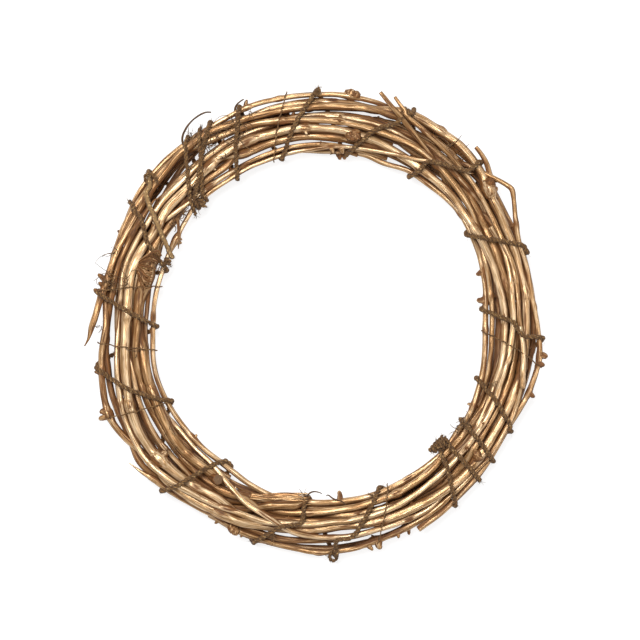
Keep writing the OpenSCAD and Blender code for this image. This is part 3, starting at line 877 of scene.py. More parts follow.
CANE_DETAILS: dict[str, CaneDetail] = {
    "cane_01": CaneDetail(0.5, ridge=0.035, slim=0.25),
    "cane_02": CaneDetail(0.5, end=EndStyle.POINTED, slim=0.25, buds=(
        Bud(5.3, 80, 1.8, 1.8), Bud(5.48, 75, 3.6, 3.4, 0.1), Bud(5.56, 100, 3.0, 2.2, -0.5),
        Bud(6.9, 95, 2.0, 1.6))),
    "cane_03": CaneDetail(0.68, ridge=0.028, swellings=(13.7, 16.3, 18.9), buds=(
        Bud(13.66, 40, 3.4, 4.2, 0.1), Bud(13.72, 110, 3.0, 3.6, -0.2), Bud(17.4, 30, 1.8, 1.5))),
    "cane_04": CaneDetail(0.8, ridge=0.04, swellings=(7.67, 11.3, 14.6), buds=(
        Bud(7.66, 290, 3.2, 4.4, 0.1),)),
    "cane_05": CaneDetail(0.35, start=EndStyle.POINTED, dark=0.25, buds=(
        Bud(9.28, 80, 3.4, 2.6), Bud(9.42, 95, 4.0, 2.6), Bud(9.36, 60, 2.4, 2.2), Bud(11.9, 70, 1.6, 1.6))),
    "cane_06": CaneDetail(0.45, swellings=(8.25,), dark=0.5, dark_hours=(8.4, 9.7), buds=(
        Bud(8.23, 92, 4.2, 3.0, 0.0), Bud(8.27, 60, 2.6, 3.2), Bud(8.6, 80, 2.2, 2.0),
        Bud(12.2, 10, 1.6, 1.6), Bud(15.2, 200, 2.0, 1.4))),
    "cane_07": CaneDetail(0.7, end=EndStyle.POINTED, swellings=(10.03,), buds=(
        Bud(10.03, 265, 2.8, 2.0), Bud(10.06, 240, 2.4, 1.8), Bud(12.15, 270, 2.6, 2.2),
        Bud(12.25, 250, 3.0, 2.6), Bud(7.6, 280, 1.6, 1.4))),
    "cane_08": CaneDetail(0.6, buds=(
        Bud(12.22, 260, 3.2, 2.6), Bud(12.28, 280, 3.0, 2.4), Bud(14.4, 270, 2.6, 2.6),
        Bud(14.7, 265, 3.4, 3.0, 0.1), Bud(17.75, 265, 4.4, 2.6, 0.05), Bud(15.9, 270, 1.8, 1.6))),
    "cane_09": CaneDetail(0.45, start=EndStyle.TORN, ridge=0.05),
    "cane_10": CaneDetail(0.85, ridge=0.02, buds=(Bud(4.3, 20, 1.6, 1.6), Bud(12.2, 0, 1.8, 1.8))),
    "cane_11": CaneDetail(0.3, ridge=0.05, swellings=(2.6, 5.05), buds=(
        Bud(5.05, 10, 3.0, 3.6), Bud(5.1, 40, 2.4, 2.6))),
    "cane_12": CaneDetail(0.88, ridge=0.02),
    "cane_13": CaneDetail(0.5, swellings=(1.83,), buds=(
        Bud(3.25, 85, 3.0, 3.2, 0.2), Bud(3.32, 60, 2.4, 2.6), Bud(3.58, 90, 2.6, 2.4, 0.3))),
    "cane_14": CaneDetail(0.4, ridge=0.04),
    "cane_15": CaneDetail(0.5, ridge=0.04),
    "cane_16": CaneDetail(0.55, ridge=0.045, start=EndStyle.TORN, buds=(Bud(17.2, 90, 2.4, 1.8),)),
    "cane_17": CaneDetail(0.45, ridge=0.035),
    "cane_18": CaneDetail(0.42, ridge=0.05, dark=0.15),
    "cane_19": CaneDetail(0.62),
    "cane_20": CaneDetail(0.2, ridge=0.05, end=EndStyle.POINTED, dark=0.5, swellings=(8.6,)),
    "cane_21": CaneDetail(0.7),
    "cane_22": CaneDetail(0.6, buds=(
        Bud(12.27, 80, 2.6, 5.0, 0.1), Bud(12.31, 60, 2.2, 3.8, 0.3), Bud(9.85, 80, 1.8, 1.8),
        Bud(11.4, 75, 3.0, 2.0, 0.8), Bud(12.24, 120, 2.4, 3.0))),
    "cane_23": CaneDetail(0.5, ridge=0.04),
    "twig_outer_half_past_one": CaneDetail(0.35, dark=0.4),
    "twig_inner_ten": CaneDetail(0.4, start=EndStyle.TORN, dark=0.4),
    "twig_three": CaneDetail(0.85),
    "twig_inner_half_past_twelve": CaneDetail(0.35, start=EndStyle.TORN, dark=0.3),
    "stub_seven": CaneDetail(0.3, dark=0.5, ridge=0.04),
}


@dataclass
class Work:
    """A piece in the making: its surface so far, all the canes, and its random source."""

    shell: Shell
    crowd: "Crowd"
    rng: np.random.Generator

    def any_shift(self) -> float:
        """Draws a shift of the grain, in millimetres."""
        return self.rng.uniform(0, 900)


@dataclass
class Piece:
    """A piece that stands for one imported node. Each kind makes its surface in its own way."""

    name: str
    seed: int
    # The end of its object's name, and the record's material slot
    ending: ClassVar[str] = "_strand"
    slot: ClassVar[str] = "bare_tendril"

    def fill(self, work: Work, node: bpy.types.Object) -> None:
        """Adds all the piece's tubes to its surface."""
        raise NotImplementedError

    def build(self, node: bpy.types.Object, crowd: "Crowd") -> bpy.types.Object:
        """Builds the piece.

        Args:
            node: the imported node's object.
            crowd: all the canes.

        Returns:
            The new object.
        """
        work = Work(Shell(), crowd, np.random.default_rng(self.seed))
        self.fill(work, node)
        return work.shell.build(self.name + self.ending)


@dataclass
class Cane(Piece):
    """One vine cane or twig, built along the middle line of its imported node."""

    ending: ClassVar[str] = "_vine"
    slot: ClassVar[str] = "sprayed_cane"
    detail: CaneDetail
    step: float = 0.9 * MM
    sides: int = 14
    joint_gap: float = 52 * MM
    joint_swell: float = 0.24
    joint_reach: float = 2.4 * MM
    # A joint that a cane's detail places is longer by this much
    placed_joint: float = 1.7
    # A joint is higher on one side, with a collar past it and a groove past that: the height of
    # each as a share of the swelling, and the place and width as shares of the joint's reach
    joint_lean: float = 0.45
    collar: tuple[float, float, float] = (0.22, 0.9, 0.3)
    groove: tuple[float, float, float] = (0.25, 1.5, 0.4)
    # Least distance between a placed joint and a regular one, and from a joint to the cane's end
    joint_room: float = 14 * MM
    end_room: float = 6 * MM
    wander: float = 0.28 * MM
    wander_waves: tuple[float, float] = (38 * MM, 47 * MM)
    still_end: float = 12 * MM
    thickness_wave: float = 30 * MM
    uneven: float = 0.045
    ridge_depth: float = 1.5
    ridge_wave: float = 60 * MM
    # The ridges wind slowly round the cane, by this many radians a millimetre
    ridge_turn: float = 0.012
    # A slim start, a point and a tear each reach this far along the cane
    slim_length: float = 22 * MM
    point_length: float = 15 * MM
    tear_length: float = 7 * MM
    # What is left of the radius at a point, at a tear and at the worn rim of a cut
    point_share: float = 0.16
    tear_share: float = 0.25
    rim_share: float = 0.93
    bud_sides: int = 10
    bud_rings: int = 12
    line: Centreline = field(init=False)
    joints: np.ndarray = field(init=False)

    def lay(self, node: bpy.types.Object, rng: np.random.Generator) -> None:
        """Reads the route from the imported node, lets it wander and places its joints.

        Args:
            node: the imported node's object.
            rng: seeded random source.
        """
        line = centrelines(node)[0].resampled(self.step)
        along = line.along
        calm = smooth_step(0.0, self.still_end, along) * smooth_step(0.0, self.still_end, along[-1] - along)
        self.line = line.wandered(rng, self.wander_waves, self.wander, calm)
        gaps = self.joint_gap * rng.uniform(0.7, 1.3, 40)
        spots = np.cumsum(gaps) - gaps[0] * rng.uniform(0.2, 0.9)
        chosen = [self.along_at(hour) for hour in self.detail.swellings]
        chosen += [self.along_at(bud.hour) for bud in self.detail.buds]
        chosen += [s for s in spots if s < along[-1] - self.end_room
                   and all(abs(s - c) > self.joint_room for c in chosen)]
        self.joints = np.array(sorted(chosen))

    def along_at(self, hour: float) -> float:
        """Gives the distance along the cane at a clock hour.

        Args:
            hour: clock hour, counted on past 12 as the cane's own hours are.

        Returns:
            The distance in metres.
        """
        hours = clock_hours(self.line.points)
        for turns in (0, -12, 12, -24):
            if hours[0] - 0.05 <= hour + turns <= hours[-1] + 0.05:
                return float(np.interp(hour + turns, hours, self.line.along))
        return float(self.line.along[-1] / 2)

    def profile(self, rng: np.random.Generator) -> tuple[np.ndarray, np.ndarray]:
        """Works out the radius round and along the cane.

        Args:
            rng: seeded random source.

        Returns:
            The radius of each ring and side, and how near each corner is to a joint, 0 to 1.
        """
        along = self.line.along
        angles = around(self.sides)[None, :]
        turn = along[:, None] / MM * self.ridge_turn
        ridges = np.zeros((len(along), self.sides))
        for count, share in RIDGES:
            wave = np.sin(count * (angles + turn) + rng.uniform(0, 2 * math.pi))
            ridges += share * wave * (0.7 + drift(rng, along, self.ridge_wave, 0.5))[:, None]
        radius = self.line.radii[:, None] * (1 + self.ridge_depth * self.detail.ridge * ridges)
        radius = radius * (1 + drift(rng, along, self.thickness_wave, self.uneven))[:, None]
        near = np.zeros((len(along), self.sides))
        for spot in self.joints:
            chosen = any(abs(spot - self.along_at(h)) < 1 * MM for h in self.detail.swellings)
            swell = self.joint_swell * rng.uniform(0.55, 1.2)
            reach = self.joint_reach * rng.uniform(0.8, 1.3) * (self.placed_joint if chosen else 1.0)
            apart = (along[:, None] - spot) / reach
            lump = bell(apart, 1.0, 0.0, 1.0) * (
                1 + self.joint_lean * np.cos(angles - rng.uniform(0, 2 * math.pi)))
            radius = radius * (1 + swell * (lump + bell(apart, *self.collar) - bell(apart, *self.groove)))
            near = np.maximum(near, bell(apart, 1.0, 0.0, 1.25) * np.ones_like(angles))
        return radius, near

    def shaped_ends(self, radius: np.ndarray, rng: np.random.Generator) -> tuple[np.ndarray, np.ndarray]:
        """Tapers, cuts or tears the two ends.

        Args:
            radius: radius of each ring and side.
            rng: seeded random source.

        Returns:
            The new radii, and how much cut wood shows at each corner, 0 to 1.
        """
        along = self.line.along
        cut = np.zeros_like(radius)
        radius = radius * (1 - self.detail.slim * (1 - smooth_step(0.0, self.slim_length, along)))[:, None]
        for style, apart in ((self.detail.start, along), (self.detail.end, along[-1] - along)):
            apart = apart[:, None]
            if style is EndStyle.POINTED:
                least, rise = self.point_share, smooth_step(-1 * MM, self.point_length, apart)
            elif style is EndStyle.TORN:
                jag = rng.uniform(0.0, 5.0, self.sides)[None, :] * MM
                least, rise = self.tear_share, smooth_step(0.0, 1.0, (apart - jag) / (2.5 * MM) + 0.5)
                cut = np.maximum(cut, 1.0 - smooth_step(2 * MM, self.tear_length, apart))
            else:
                least, rise = self.rim_share, smooth_step(0.0, 0.7 * MM, apart)
            radius = radius * (least + (1 - least) * rise)
        return radius, cut

    def with_cut_faces(self, radius: np.ndarray, near: np.ndarray, cut: np.ndarray,
                       ) -> tuple[Centreline, np.ndarray, np.ndarray, np.ndarray]:
        """Adds two small rings past each end, which make its cut face flat with a crisp rim.

        Args:
            radius: radius of each ring and side.
            near: nearness to a joint of each ring and side.
            cut: share of cut wood at each ring and side.

        Returns:
            The longer middle line and the three longer tables.
        """
        points, tangents = self.line.points, self.line.tangents
        past = np.array([0.05, 0.07])[:, None] * MM
        inner = np.array([0.92, 0.72])[:, None]
        bare = np.array([0.6, 1.0])[:, None] * np.ones_like(cut[:1])
        longer = np.vstack([points[0] - tangents[0] * past[::-1], points, points[-1] + tangents[-1] * past])
        radius = np.vstack([radius[:1] * inner[::-1], radius, radius[-1:] * inner])
        near = np.pad(near, ((2, 2), (0, 0)), mode="edge")
        return (Centreline(longer, np.pad(self.line.radii, 2, mode="edge")), radius, near,
                np.vstack([bare[::-1], cut, bare]))

    def fill(self, work: Work, node: bpy.types.Object) -> None:
        """Adds the cane and its buds.

        Args:
            work: the cane in the making.
            node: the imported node's object, which lay has already read.
        """
        radius, near = self.profile(work.rng)
        radius, cut = self.shaped_ends(radius, work.rng)
        line, radius, near, cut = self.with_cut_faces(radius, near, cut)
        self.add_part(work, sweep(line, radius), with_ends(near), with_ends(cut))
        for bud in self.all_buds(work.rng):
            self.add_bud(work, bud)

    def add_part(self, work: Work, tube: Tube, joint: float | np.ndarray, cut: float | np.ndarray) -> None:
        """Adds one tube with the values that the finish reads.

        Args:
            work: the cane in the making.
            tube: the tube.
            joint: nearness to a joint.
            cut: share of cut wood.
        """
        # The spray cover holds painted shade: less paint in creases and on the sides
        cover = work.crowd.spray_cover_with_shade(tube, self.name) * (1 - self.missed(tube.corners))
        work.shell.add(tube, (self.seed - BUILD_SEED) * CANE_SHIFT, cover=cover, joint=joint, cut=cut,
                       tone=self.detail.tone)

    def missed(self, corners: np.ndarray) -> float | np.ndarray:
        """Says what share of the paint a surface missed.

        Args:
            corners: surface points.

        Returns:
            One share for all, or one for each point.
        """
        if self.detail.dark_hours is None:
            return self.detail.dark
        low, high = self.detail.dark_hours
        hours = dial_hours(corners)
        return self.detail.dark * smooth_step(low - 0.2, low, hours) * smooth_step(-high - 0.2, -high, -hours)

    def all_buds(self, rng: np.random.Generator) -> list[Bud]:
        """Lists the placed buds and the small ones at some of the other joints.

        Args:
            rng: seeded random source.

        Returns:
            The buds.
        """
        buds = list(self.detail.buds)
        hours = clock_hours(self.line.points)
        for spot in self.joints:
            hour = float(np.interp(spot, self.line.along, hours))
            if rng.uniform() < 0.5 and all(abs(spot - self.along_at(b.hour)) > 8 * MM for b in buds):
                size = rng.uniform(1.0, 2.2)
                lean = rng.uniform(0, 360)
                buds.append(Bud(hour, lean, size, size * rng.uniform(0.7, 1.0), rng.uniform(0.3, 0.9)))
        return buds

    def add_bud(self, work: Work, bud: Bud) -> None:
        """Adds a bud: a short scaly cone that leans forward from the cane.

        Args:
            work: the cane in the making.
            bud: the bud.
        """
        place = int(np.argmin(np.abs(self.line.along - self.along_at(bud.hour))))
        base, thickness = self.line.points[place], self.line.radii[place]
        tangent = self.line.tangents[place]
        outward = unit((base - RING_MIDDLE) * np.array([1.0, 1.0, 0.0]))
        lean = math.radians(bud.lean)
        stem = unit(UP * math.cos(lean) + outward * math.sin(lean))
        stem = unit(stem - tangent * stem.dot(tangent))
        way = unit(stem + tangent * bud.forward)
        rise = np.linspace(0.0, 1.0, self.bud_rings)
        reach = bud.length_mm * MM + thickness * 0.5
        bend = stem * 0.18 * reach * np.sin(rise * math.pi)[:, None]
        points = base + stem * thickness * 0.55 + way * (rise * reach)[:, None] + bend
        form = np.interp(rise, [0, 0.3, 0.55, 0.8, 1.0], [1.35, 1.1, 0.95, 0.66, 0.14])
        line = Centreline(points, form * bud.thickness_mm * MM / 2)
        turned = 3 * around(self.bud_sides)[None, :] + rise[:, None] * 9 + work.rng.uniform(0, 6)
        scales = 1 + 0.12 * np.sin(turned) * form[:, None]
        self.add_part(work, sweep(line, line.radii[:, None] * scales), 0.9, 0.0)


@dataclass
class Crowd:
    """All the canes' middle lines together, for how deep in the bundle a surface lies; the vine finish turns
    this into painted shade in the creases.
    """

    points: np.ndarray
    radii: np.ndarray
    owners: np.ndarray
    names: list[str]
    step: float = 2.0 * MM
    sector: float = 0.5

    @classmethod
    def of(cls, canes: list[Cane]) -> "Crowd":
        """Gathers the middle lines.

        Args:
            canes: the laid canes.

        Returns:
            The crowd.
        """
        lines = [cane.line.resampled(cls.step) for cane in canes]
        owners = np.repeat(np.arange(len(lines)), [len(line.points) for line in lines])
        return cls(np.vstack([line.points for line in lines]), np.concatenate([line.radii for line in lines]),
                   owners, [cane.name for cane in canes])

    def shade(self, tube: Tube, name: str) -> np.ndarray:
        """Works out how much of each corner's view is taken up by other canes.

        Args:
            tube: the surface.
            name: cane that it belongs to, which doesn't shade itself.

        Returns:
            A value for each corner, 0 in the open and 1 deep in a crease.
        """
        own = self.names.index(name) if name in self.names else -1
        hour, crowd_hour = dial_hours(tube.corners), dial_hours(self.points)
        shade = np.zeros(len(hour))
        for start in np.arange(0.0, 12.0, self.sector):
            here = np.nonzero((hour >= start) & (hour < start + self.sector))[0]
            away = np.abs((crowd_hour - start - self.sector / 2 + 6) % 12 - 6)
            near = np.nonzero((away < self.sector * 0.9) & (self.owners != own))[0]
            if not len(here) or not len(near):
                continue
            gap = self.points[near][None, :, :] - tube.corners[here][:, None, :]
            distance = np.maximum(np.linalg.norm(gap, axis=2), 0.5 * MM)
            facing = np.maximum(np.einsum("ijk,ik->ij", gap, tube.out[here]) / distance, 0.0)
            size = 2 * self.radii[near][None, :] * self.step
            shade[here] = (size * facing / (math.pi * distance**2)).sum(axis=1)
        return np.clip(shade, 0.0, 1.0)

    def spray_cover_with_shade(self, tube: Tube, name: str = "") -> np.ndarray:
        """Works out how much of the spray a surface caught, with painted shade in it.

        Args:
            tube: the surface.
            name: cane that it belongs to.

        Returns:
            A value for each corner, 1 where the paint is thick.
        """
        # Sides and underside hold less paint and show dark bark: partly the front spray missing them, partly
        # painted shade
        front = 0.12 + 0.88 * smooth_step(-0.1, 0.95, tube.out[:, 2])
        back = 0.75 * smooth_step(0.1, 0.95, -tube.out[:, 2])
        # Creases that other canes shade lose paint too: painted shade, partly paint that the spray missed
        return np.maximum(front, back) * (1.0 - 0.7 * self.shade(tube, name))


# ---- twine, threads and tendrils -----------------------------------------------------------------


def add_fibre(work: Work, points: np.ndarray, radius: float) -> None:
    """Adds one thin tapered fibre, four-sided because it's as fine as a hair.

    Args:
        work: the piece in the making.
        points: points along the fibre.
        radius: its radius at the root, in metres.
    """
    points = np.column_stack([points[:, :2], np.maximum(points[:, 2], LOWEST)])
    taper = np.linspace(1.0, 0.45, len(points)) * radius
    work.shell.add(round_tube(Centreline(points, taper), 4), work.any_shift(), cover=0.4)


@dataclass
class TwistedTwine(Piece):
    """Two-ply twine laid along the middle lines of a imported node, with stray fibres."""

    ending: ClassVar[str] = "_spun"
    slot: ClassVar[str] = "jute_twine"
    plies: int = 2
    step: float = 0.45 * MM
    sides: int = 8
    twist_mm: float = 4.8
    ply_offset: float = 0.46
    ply_thickness: float = 0.56
    fibres_per_mm: float = 1.1
    fibre_radius: float = 0.05 * MM
    softening: float = 1.6 * MM
    wobble: float = 0.16 * MM
    frayed: int = 16
    # Share by which the twine is thicker than packed, and shifts of further wraps in mm
    bulk: float = 1.0
    wraps: tuple[tuple[float, float, float], ...] = ()
    # Clock hours between which the twine is one smooth strand
    smooth_hours: tuple[float, float] | None = None

    def fill(self, work: Work, node: bpy.types.Object) -> None:
        """Adds each length of the twine, with its further wraps.

        Args:
            work: the twine in the making.
            node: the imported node's object.
        """
        for line in centrelines(node):
            for shift in ((0.0, 0.0, 0.0),) + self.wraps:
                self.add_length(work, Centreline(line.points + np.array(shift) * MM, line.radii * self.bulk))

    def add_length(self, work: Work, line: Centreline) -> None:
        """Adds one length of twine.

        Args:
            work: the twine in the making.
            line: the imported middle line.
        """
        rng = work.rng
        core = line.resampled(self.step).softened(self.softening)
        along = core.along
        across, over = core.frames()
        swayed = core.wandered(rng, (9 * MM, 7 * MM), self.wobble)
        turn = 2 * math.pi * (along / MM + drift(rng, along, 40 * MM, 0.8)) / self.twist_mm
        plain = self.plain_share(swayed.points)
        # Lightens the smooth strand toward gold: partly gold dust, partly a painted highlight
        dust_and_highlight = with_ends(plain[:, None].repeat(self.sides, 1)) * 0.9
        for ply in range(self.plies):
            angle = turn + 2 * math.pi * ply / self.plies
            offset = across * np.cos(angle)[:, None] + over * np.sin(angle)[:, None]
            spread = core.radii * self.ply_offset * (1 - 0.8 * plain)
            strand = Centreline(swayed.points + offset * spread[:, None],
                                core.radii * (self.ply_thickness + 0.4 * plain))
            thickness = strand.radii * (1 + drift(rng, along, 11 * MM, 0.08))
            ribs = np.sin(4 * around(self.sides)[None, :] - along[:, None] / MM * 1.7)
            tube = sweep(strand, thickness[:, None] * (1 + 0.07 * ribs * (1 - plain)[:, None]))
            work.shell.add(tube, self.seed * TWINE_SHIFT + ply * PLY_SHIFT,
                           cover=work.crowd.spray_cover_with_shade(tube) + dust_and_highlight)
        self.add_fibres(work, swayed, plain)

    def plain_share(self, points: np.ndarray) -> np.ndarray:
        """Says where the twine runs as one smooth, unspun strand.

        Args:
            points: points along the twine.

        Returns:
            A value for each point, 1 where it's smooth.
        """
        if self.smooth_hours is None:
            return np.zeros(len(points))
        low, high = self.smooth_hours
        hours = clock_hours(points) % 12
        front = smooth_step(8 * MM, 12 * MM, points[:, 2])
        return smooth_step(low - 0.08, low, hours) * smooth_step(-high, -high + 0.08, -hours) * front

    def add_fibres(self, work: Work, core: Centreline, plain: np.ndarray) -> None:
        """Adds the loose fibres that stand out of the twine, and the frayed tufts at its ends.

        Args:
            work: the twine in the making.
            core: the twine's middle line.
            plain: where the twine is smooth, 0 to 1.
        """
        rng = work.rng
        across, over = core.frames()
        tangents = core.tangents
        rise = np.linspace(0.0, 1.0, 5)[:, None]
        for _ in range(int(core.along[-1] / MM * self.fibres_per_mm)):
            i = rng.integers(0, len(core.points))
            angle = rng.uniform(0, 2 * math.pi)
            out = across[i] * math.cos(angle) + over[i] * math.sin(angle)
            length = rng.uniform(0.8, 3.2) * MM
            way = unit(out * rng.uniform(0.3, 1.0) + tangents[i] * rng.uniform(-1.2, 1.2))
            curl = unit(np.cross(way, out) + rng.normal(0, 0.5, 3)) * rng.uniform(-0.4, 0.4)
            points = core.points[i] + out * core.radii[i] * 0.8 + (way * rise + curl * rise**2) * length
            if plain[i] < 0.5:
                add_fibre(work, points, self.fibre_radius * rng.uniform(0.7, 1.3))
        for i, sign in ((0, -1.0), (len(core.points) - 1, 1.0)):
            for _ in range(self.frayed):
                way = tangents[i] * sign + rng.normal(0, 0.35, 3)
                start = core.points[i] + rng.normal(0, 0.25, 3) * core.radii[i]
                path = curl_path(start, way, rng.uniform(1.5, 4.0) * MM, rng.uniform(0.2, 1.6), 6, rng)
                add_fibre(work, path, self.fibre_radius * 2.0)


@dataclass
class ThinStrand(Piece):
    """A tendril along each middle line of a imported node."""

    step: float = 0.5 * MM
    sides: int = 8
    wobble: float = 0.12 * MM
    wave: float = 14 * MM
    softening: float = 3.5 * MM
    # How far a strand's thicker end is led back among the canes, in metres
    root: float = 4 * MM
    bundle_reach: float = 108 * MM

    def rooted(self, line: Centreline) -> Centreline:
        """Leads a strand's thicker end back among the canes.

        Args:
            line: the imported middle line.

        Returns:
            The line with its root added.
        """
        if self.root == 0.0:
            return line
        if line.radii[-1] > line.radii[0]:
            line = Centreline(line.points[::-1], line.radii[::-1])
        flat = (line.points[0] - RING_MIDDLE) * np.array([1.0, 1.0, 0.0])
        to_bundle = unit(flat) * np.sign(self.bundle_reach - np.linalg.norm(flat))
        way = unit(to_bundle - UP * 0.3 - line.tangents[0] * 0.5)
        return Centreline(np.vstack([line.points[0] + way * self.root, line.points]),
                          np.concatenate([line.radii[:1] * 1.2, line.radii]))

    def fill(self, work: Work, node: bpy.types.Object) -> None:
        """Adds a thin strand along each middle line.

        Args:
            work: the strands in the making.
            node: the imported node's object.
        """
        for line in centrelines(node):
            core = self.rooted(line).resampled(self.step).softened(self.softening)
            strand = core.wandered(work.rng, (self.wave, self.wave * 1.3), self.wobble)
            strand.radii = core.radii * (1 + drift(work.rng, core.along, self.wave, 0.12))
            tube = round_tube(strand, self.sides)
            work.shell.add(tube, work.any_shift(), cover=work.crowd.spray_cover_with_shade(tube))


@dataclass(frozen=True)
class Wisps:
    """A tuft of curly loose fibres: where it sits, how many, how long and how curly they are."""

    hour: float
    reach: float
    height: float
    count: int
    length_mm: float
    bend: float = 3.0
    spread_mm: float = 2.0


WISPS = (
    Wisps(9.42, 115, 19, 14, 12, 5.0, 3.0), Wisps(9.5, 106, 20, 8, 17, 3.0, 3.0),
    Wisps(9.72, 90.5, 17, 12, 6, 4.0, 2.0), Wisps(9.66, 116, 18, 6, 8), Wisps(10.18, 95, 17, 8, 6),
    Wisps(10.35, 95, 17, 12, 6, 4.5, 2.5), Wisps(10.88, 122.5, 15, 16, 6, 4.0, 2.5),
    Wisps(10.95, 114, 19, 8, 15, 6.0, 3.0), Wisps(11.08, 118, 19, 8, 15, 7.0, 3.0),
    Wisps(11.27, 112, 20, 9, 17, 8.0, 3.0), Wisps(11.25, 119, 19, 7, 14, 7.0),
    Wisps(11.05, 104, 19, 6, 8, 4.0), Wisps(11.42, 120, 17, 5, 7, 5.0), Wisps(10.62, 97, 18, 10, 6),
    Wisps(10.5, 91, 15, 10, 5, 3.0, 1.5),
    Wisps(4.1, 96, 17, 14, 6), Wisps(4.2, 94.5, 16, 8, 6, 2.0), Wisps(3.6, 99.5, 19, 8, 5, 4.0),
    Wisps(5.4, 97, 16, 10, 5), Wisps(5.88, 124, 13, 8, 4, 3.0, 1.0), Wisps(6.4, 116, 19, 8, 6),
    Wisps(0.8, 124.5, 17, 10, 5, 3.0, 1.5), Wisps(2.38, 118.5, 15, 6, 4, 3.0, 1.0),
    Wisps(1.35, 124, 16, 6, 6, 2.5, 1.5), Wisps(7.7, 103, 18, 6, 8, 4.0, 3.0),
    Wisps(7.8, 98, 17, 6, 8, 4.0, 3.0),
    Wisps(8.75, 99, 18, 4, 8), Wisps(1.2, 121, 17, 5, 9, 2.0), Wisps(9.0, 118, 15, 6, 5),
    Wisps(6.14, 92, 15, 6, 5, 4.0, 1.0),
)


@dataclass
class LooseThreads(ThinStrand):
    """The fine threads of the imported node, with the curly wisps shed by bark and twine."""

    slot: ClassVar[str] = "fine_thread"
    name: str = "loose_threads"
    seed: int = 95
    wobble: float = 0.3 * MM
    wave: float = 6 * MM
    softening: float = 1.0 * MM
    root: float = 0.0
    # Real wisps are half as thick; drawn thicker, so that they can be seen
    wisp_radius: float = 0.21 * MM
    steps: int = 12

    def fill(self, work: Work, node: bpy.types.Object) -> None:
        """Adds the threads and wisps.

        Args:
            work: the threads in the making.
            node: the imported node's object.
        """
        super().fill(work, node)
        rng = work.rng
        for tuft in WISPS:
            centre = ring_point(tuft.hour, tuft.reach, tuft.height)
            for _ in range(tuft.count):
                start = centre + rng.normal(0, 0.5, 3) * np.array([1, 1, 0.3]) * tuft.spread_mm * MM
                way = rng.normal(0, 1, 3) * np.array([1.0, 1.0, 0.25])
                length = tuft.length_mm * MM * rng.uniform(0.5, 1.3)
                path = curl_path(start, way, length, tuft.bend * rng.uniform(0.4, 1.4), self.steps, rng)
                path[:, 2] = np.clip(path[:, 2], WISP_LOWEST, WISP_HIGHEST)
                add_fibre(work, path, self.wisp_radius * rng.uniform(0.6, 1.5))


# ---- bark ----------------------------------------------------------------------------------------


@dataclass
class BarkPiece(Piece):
    """A piece made of tubes or strips of bark."""

    ending: ClassVar[str] = "_bark"
    slot: ClassVar[str] = "sprayed_bark"

    def add_bark(self, work: Work, tube: Tube, held: float) -> None:
        """Adds one closed tube or strip of bark with the values that the vine finish reads.

        Args:
            work: the piece in the making.
            tube: the tube or strip.
            held: share of the spray that this bark holds.
        """
        work.shell.add(tube, work.any_shift(), cover=work.crowd.spray_cover_with_shade(tube) * held, joint=0.5,
                       cut=0.0, tone=0.4)


@dataclass
class Gnarls(BarkPiece):
    """Woody knobs left by cut side shoots, each a cluster of overlapping lobes."""

    ending: ClassVar[str] = "_wood"
    name: str = "bark_knobs"
    seed: int = 40
    # Share of the spray on each knob, in the order of their clock hours from 12
    covers: tuple[float, ...] = (0.42, 0.55, 0.85)
    bulk: float = 1.25
    lobes: int = 12
    sides: int = 14
    rings: int = 16

    def fill(self, work: Work, node: bpy.types.Object) -> None:
        """Adds the knobs.

        Args:
            work: the knobs in the making.
            node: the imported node's object.
        """
        rng = work.rng
        blocks = sorted(node_blocks(node), key=lambda block: dial_hours(block.mean(axis=0)[None, :])[0])
        for block, held in zip(blocks, self.covers):
            centre = block.mean(axis=0)
            spread = np.linalg.eigh(np.cov((block - centre).T))
            half = np.sqrt(np.maximum(spread.eigenvalues, 0)) * 1.7 * self.bulk
            for _ in range(self.lobes):
                turn = unit(rng.normal(0, 1, 3))
                place = centre + spread.eigenvectors @ (turn * half * rng.uniform(0.2, 0.62))
                self.add_bark(work, self.lobe(place, half.mean() * rng.uniform(0.4, 0.72), rng), held)

    def lobe(self, place: np.ndarray, size: float, rng: np.random.Generator) -> Tube:
        """Makes one rounded lobe with a wrinkled skin.

        Args:
            place: its middle.
            size: its mean radius, in metres.
            rng: seeded random source.

        Returns:
            The lobe.
        """
        axis = unit(rng.normal(0, 1, 3) * np.array([1.0, 1.0, 0.5]))
        share = np.linspace(-0.97, 0.97, self.rings)
        points = place + axis * (share * size * rng.uniform(0.9, 1.35))[:, None]
        angles, rise = around(self.sides)[None, :], share[:, None]
        wrinkle = np.sin(3 * angles + 4 * rise + rng.uniform(0, 6))
        wrinkle += 0.7 * np.sin(5 * angles - 7 * rise + rng.uniform(0, 6))
        radius = size * 0.85 * np.sqrt(1 - share**2)[:, None] * (1 + 0.12 * wrinkle)
        return sweep(Centreline(points, radius.mean(axis=1)), radius)


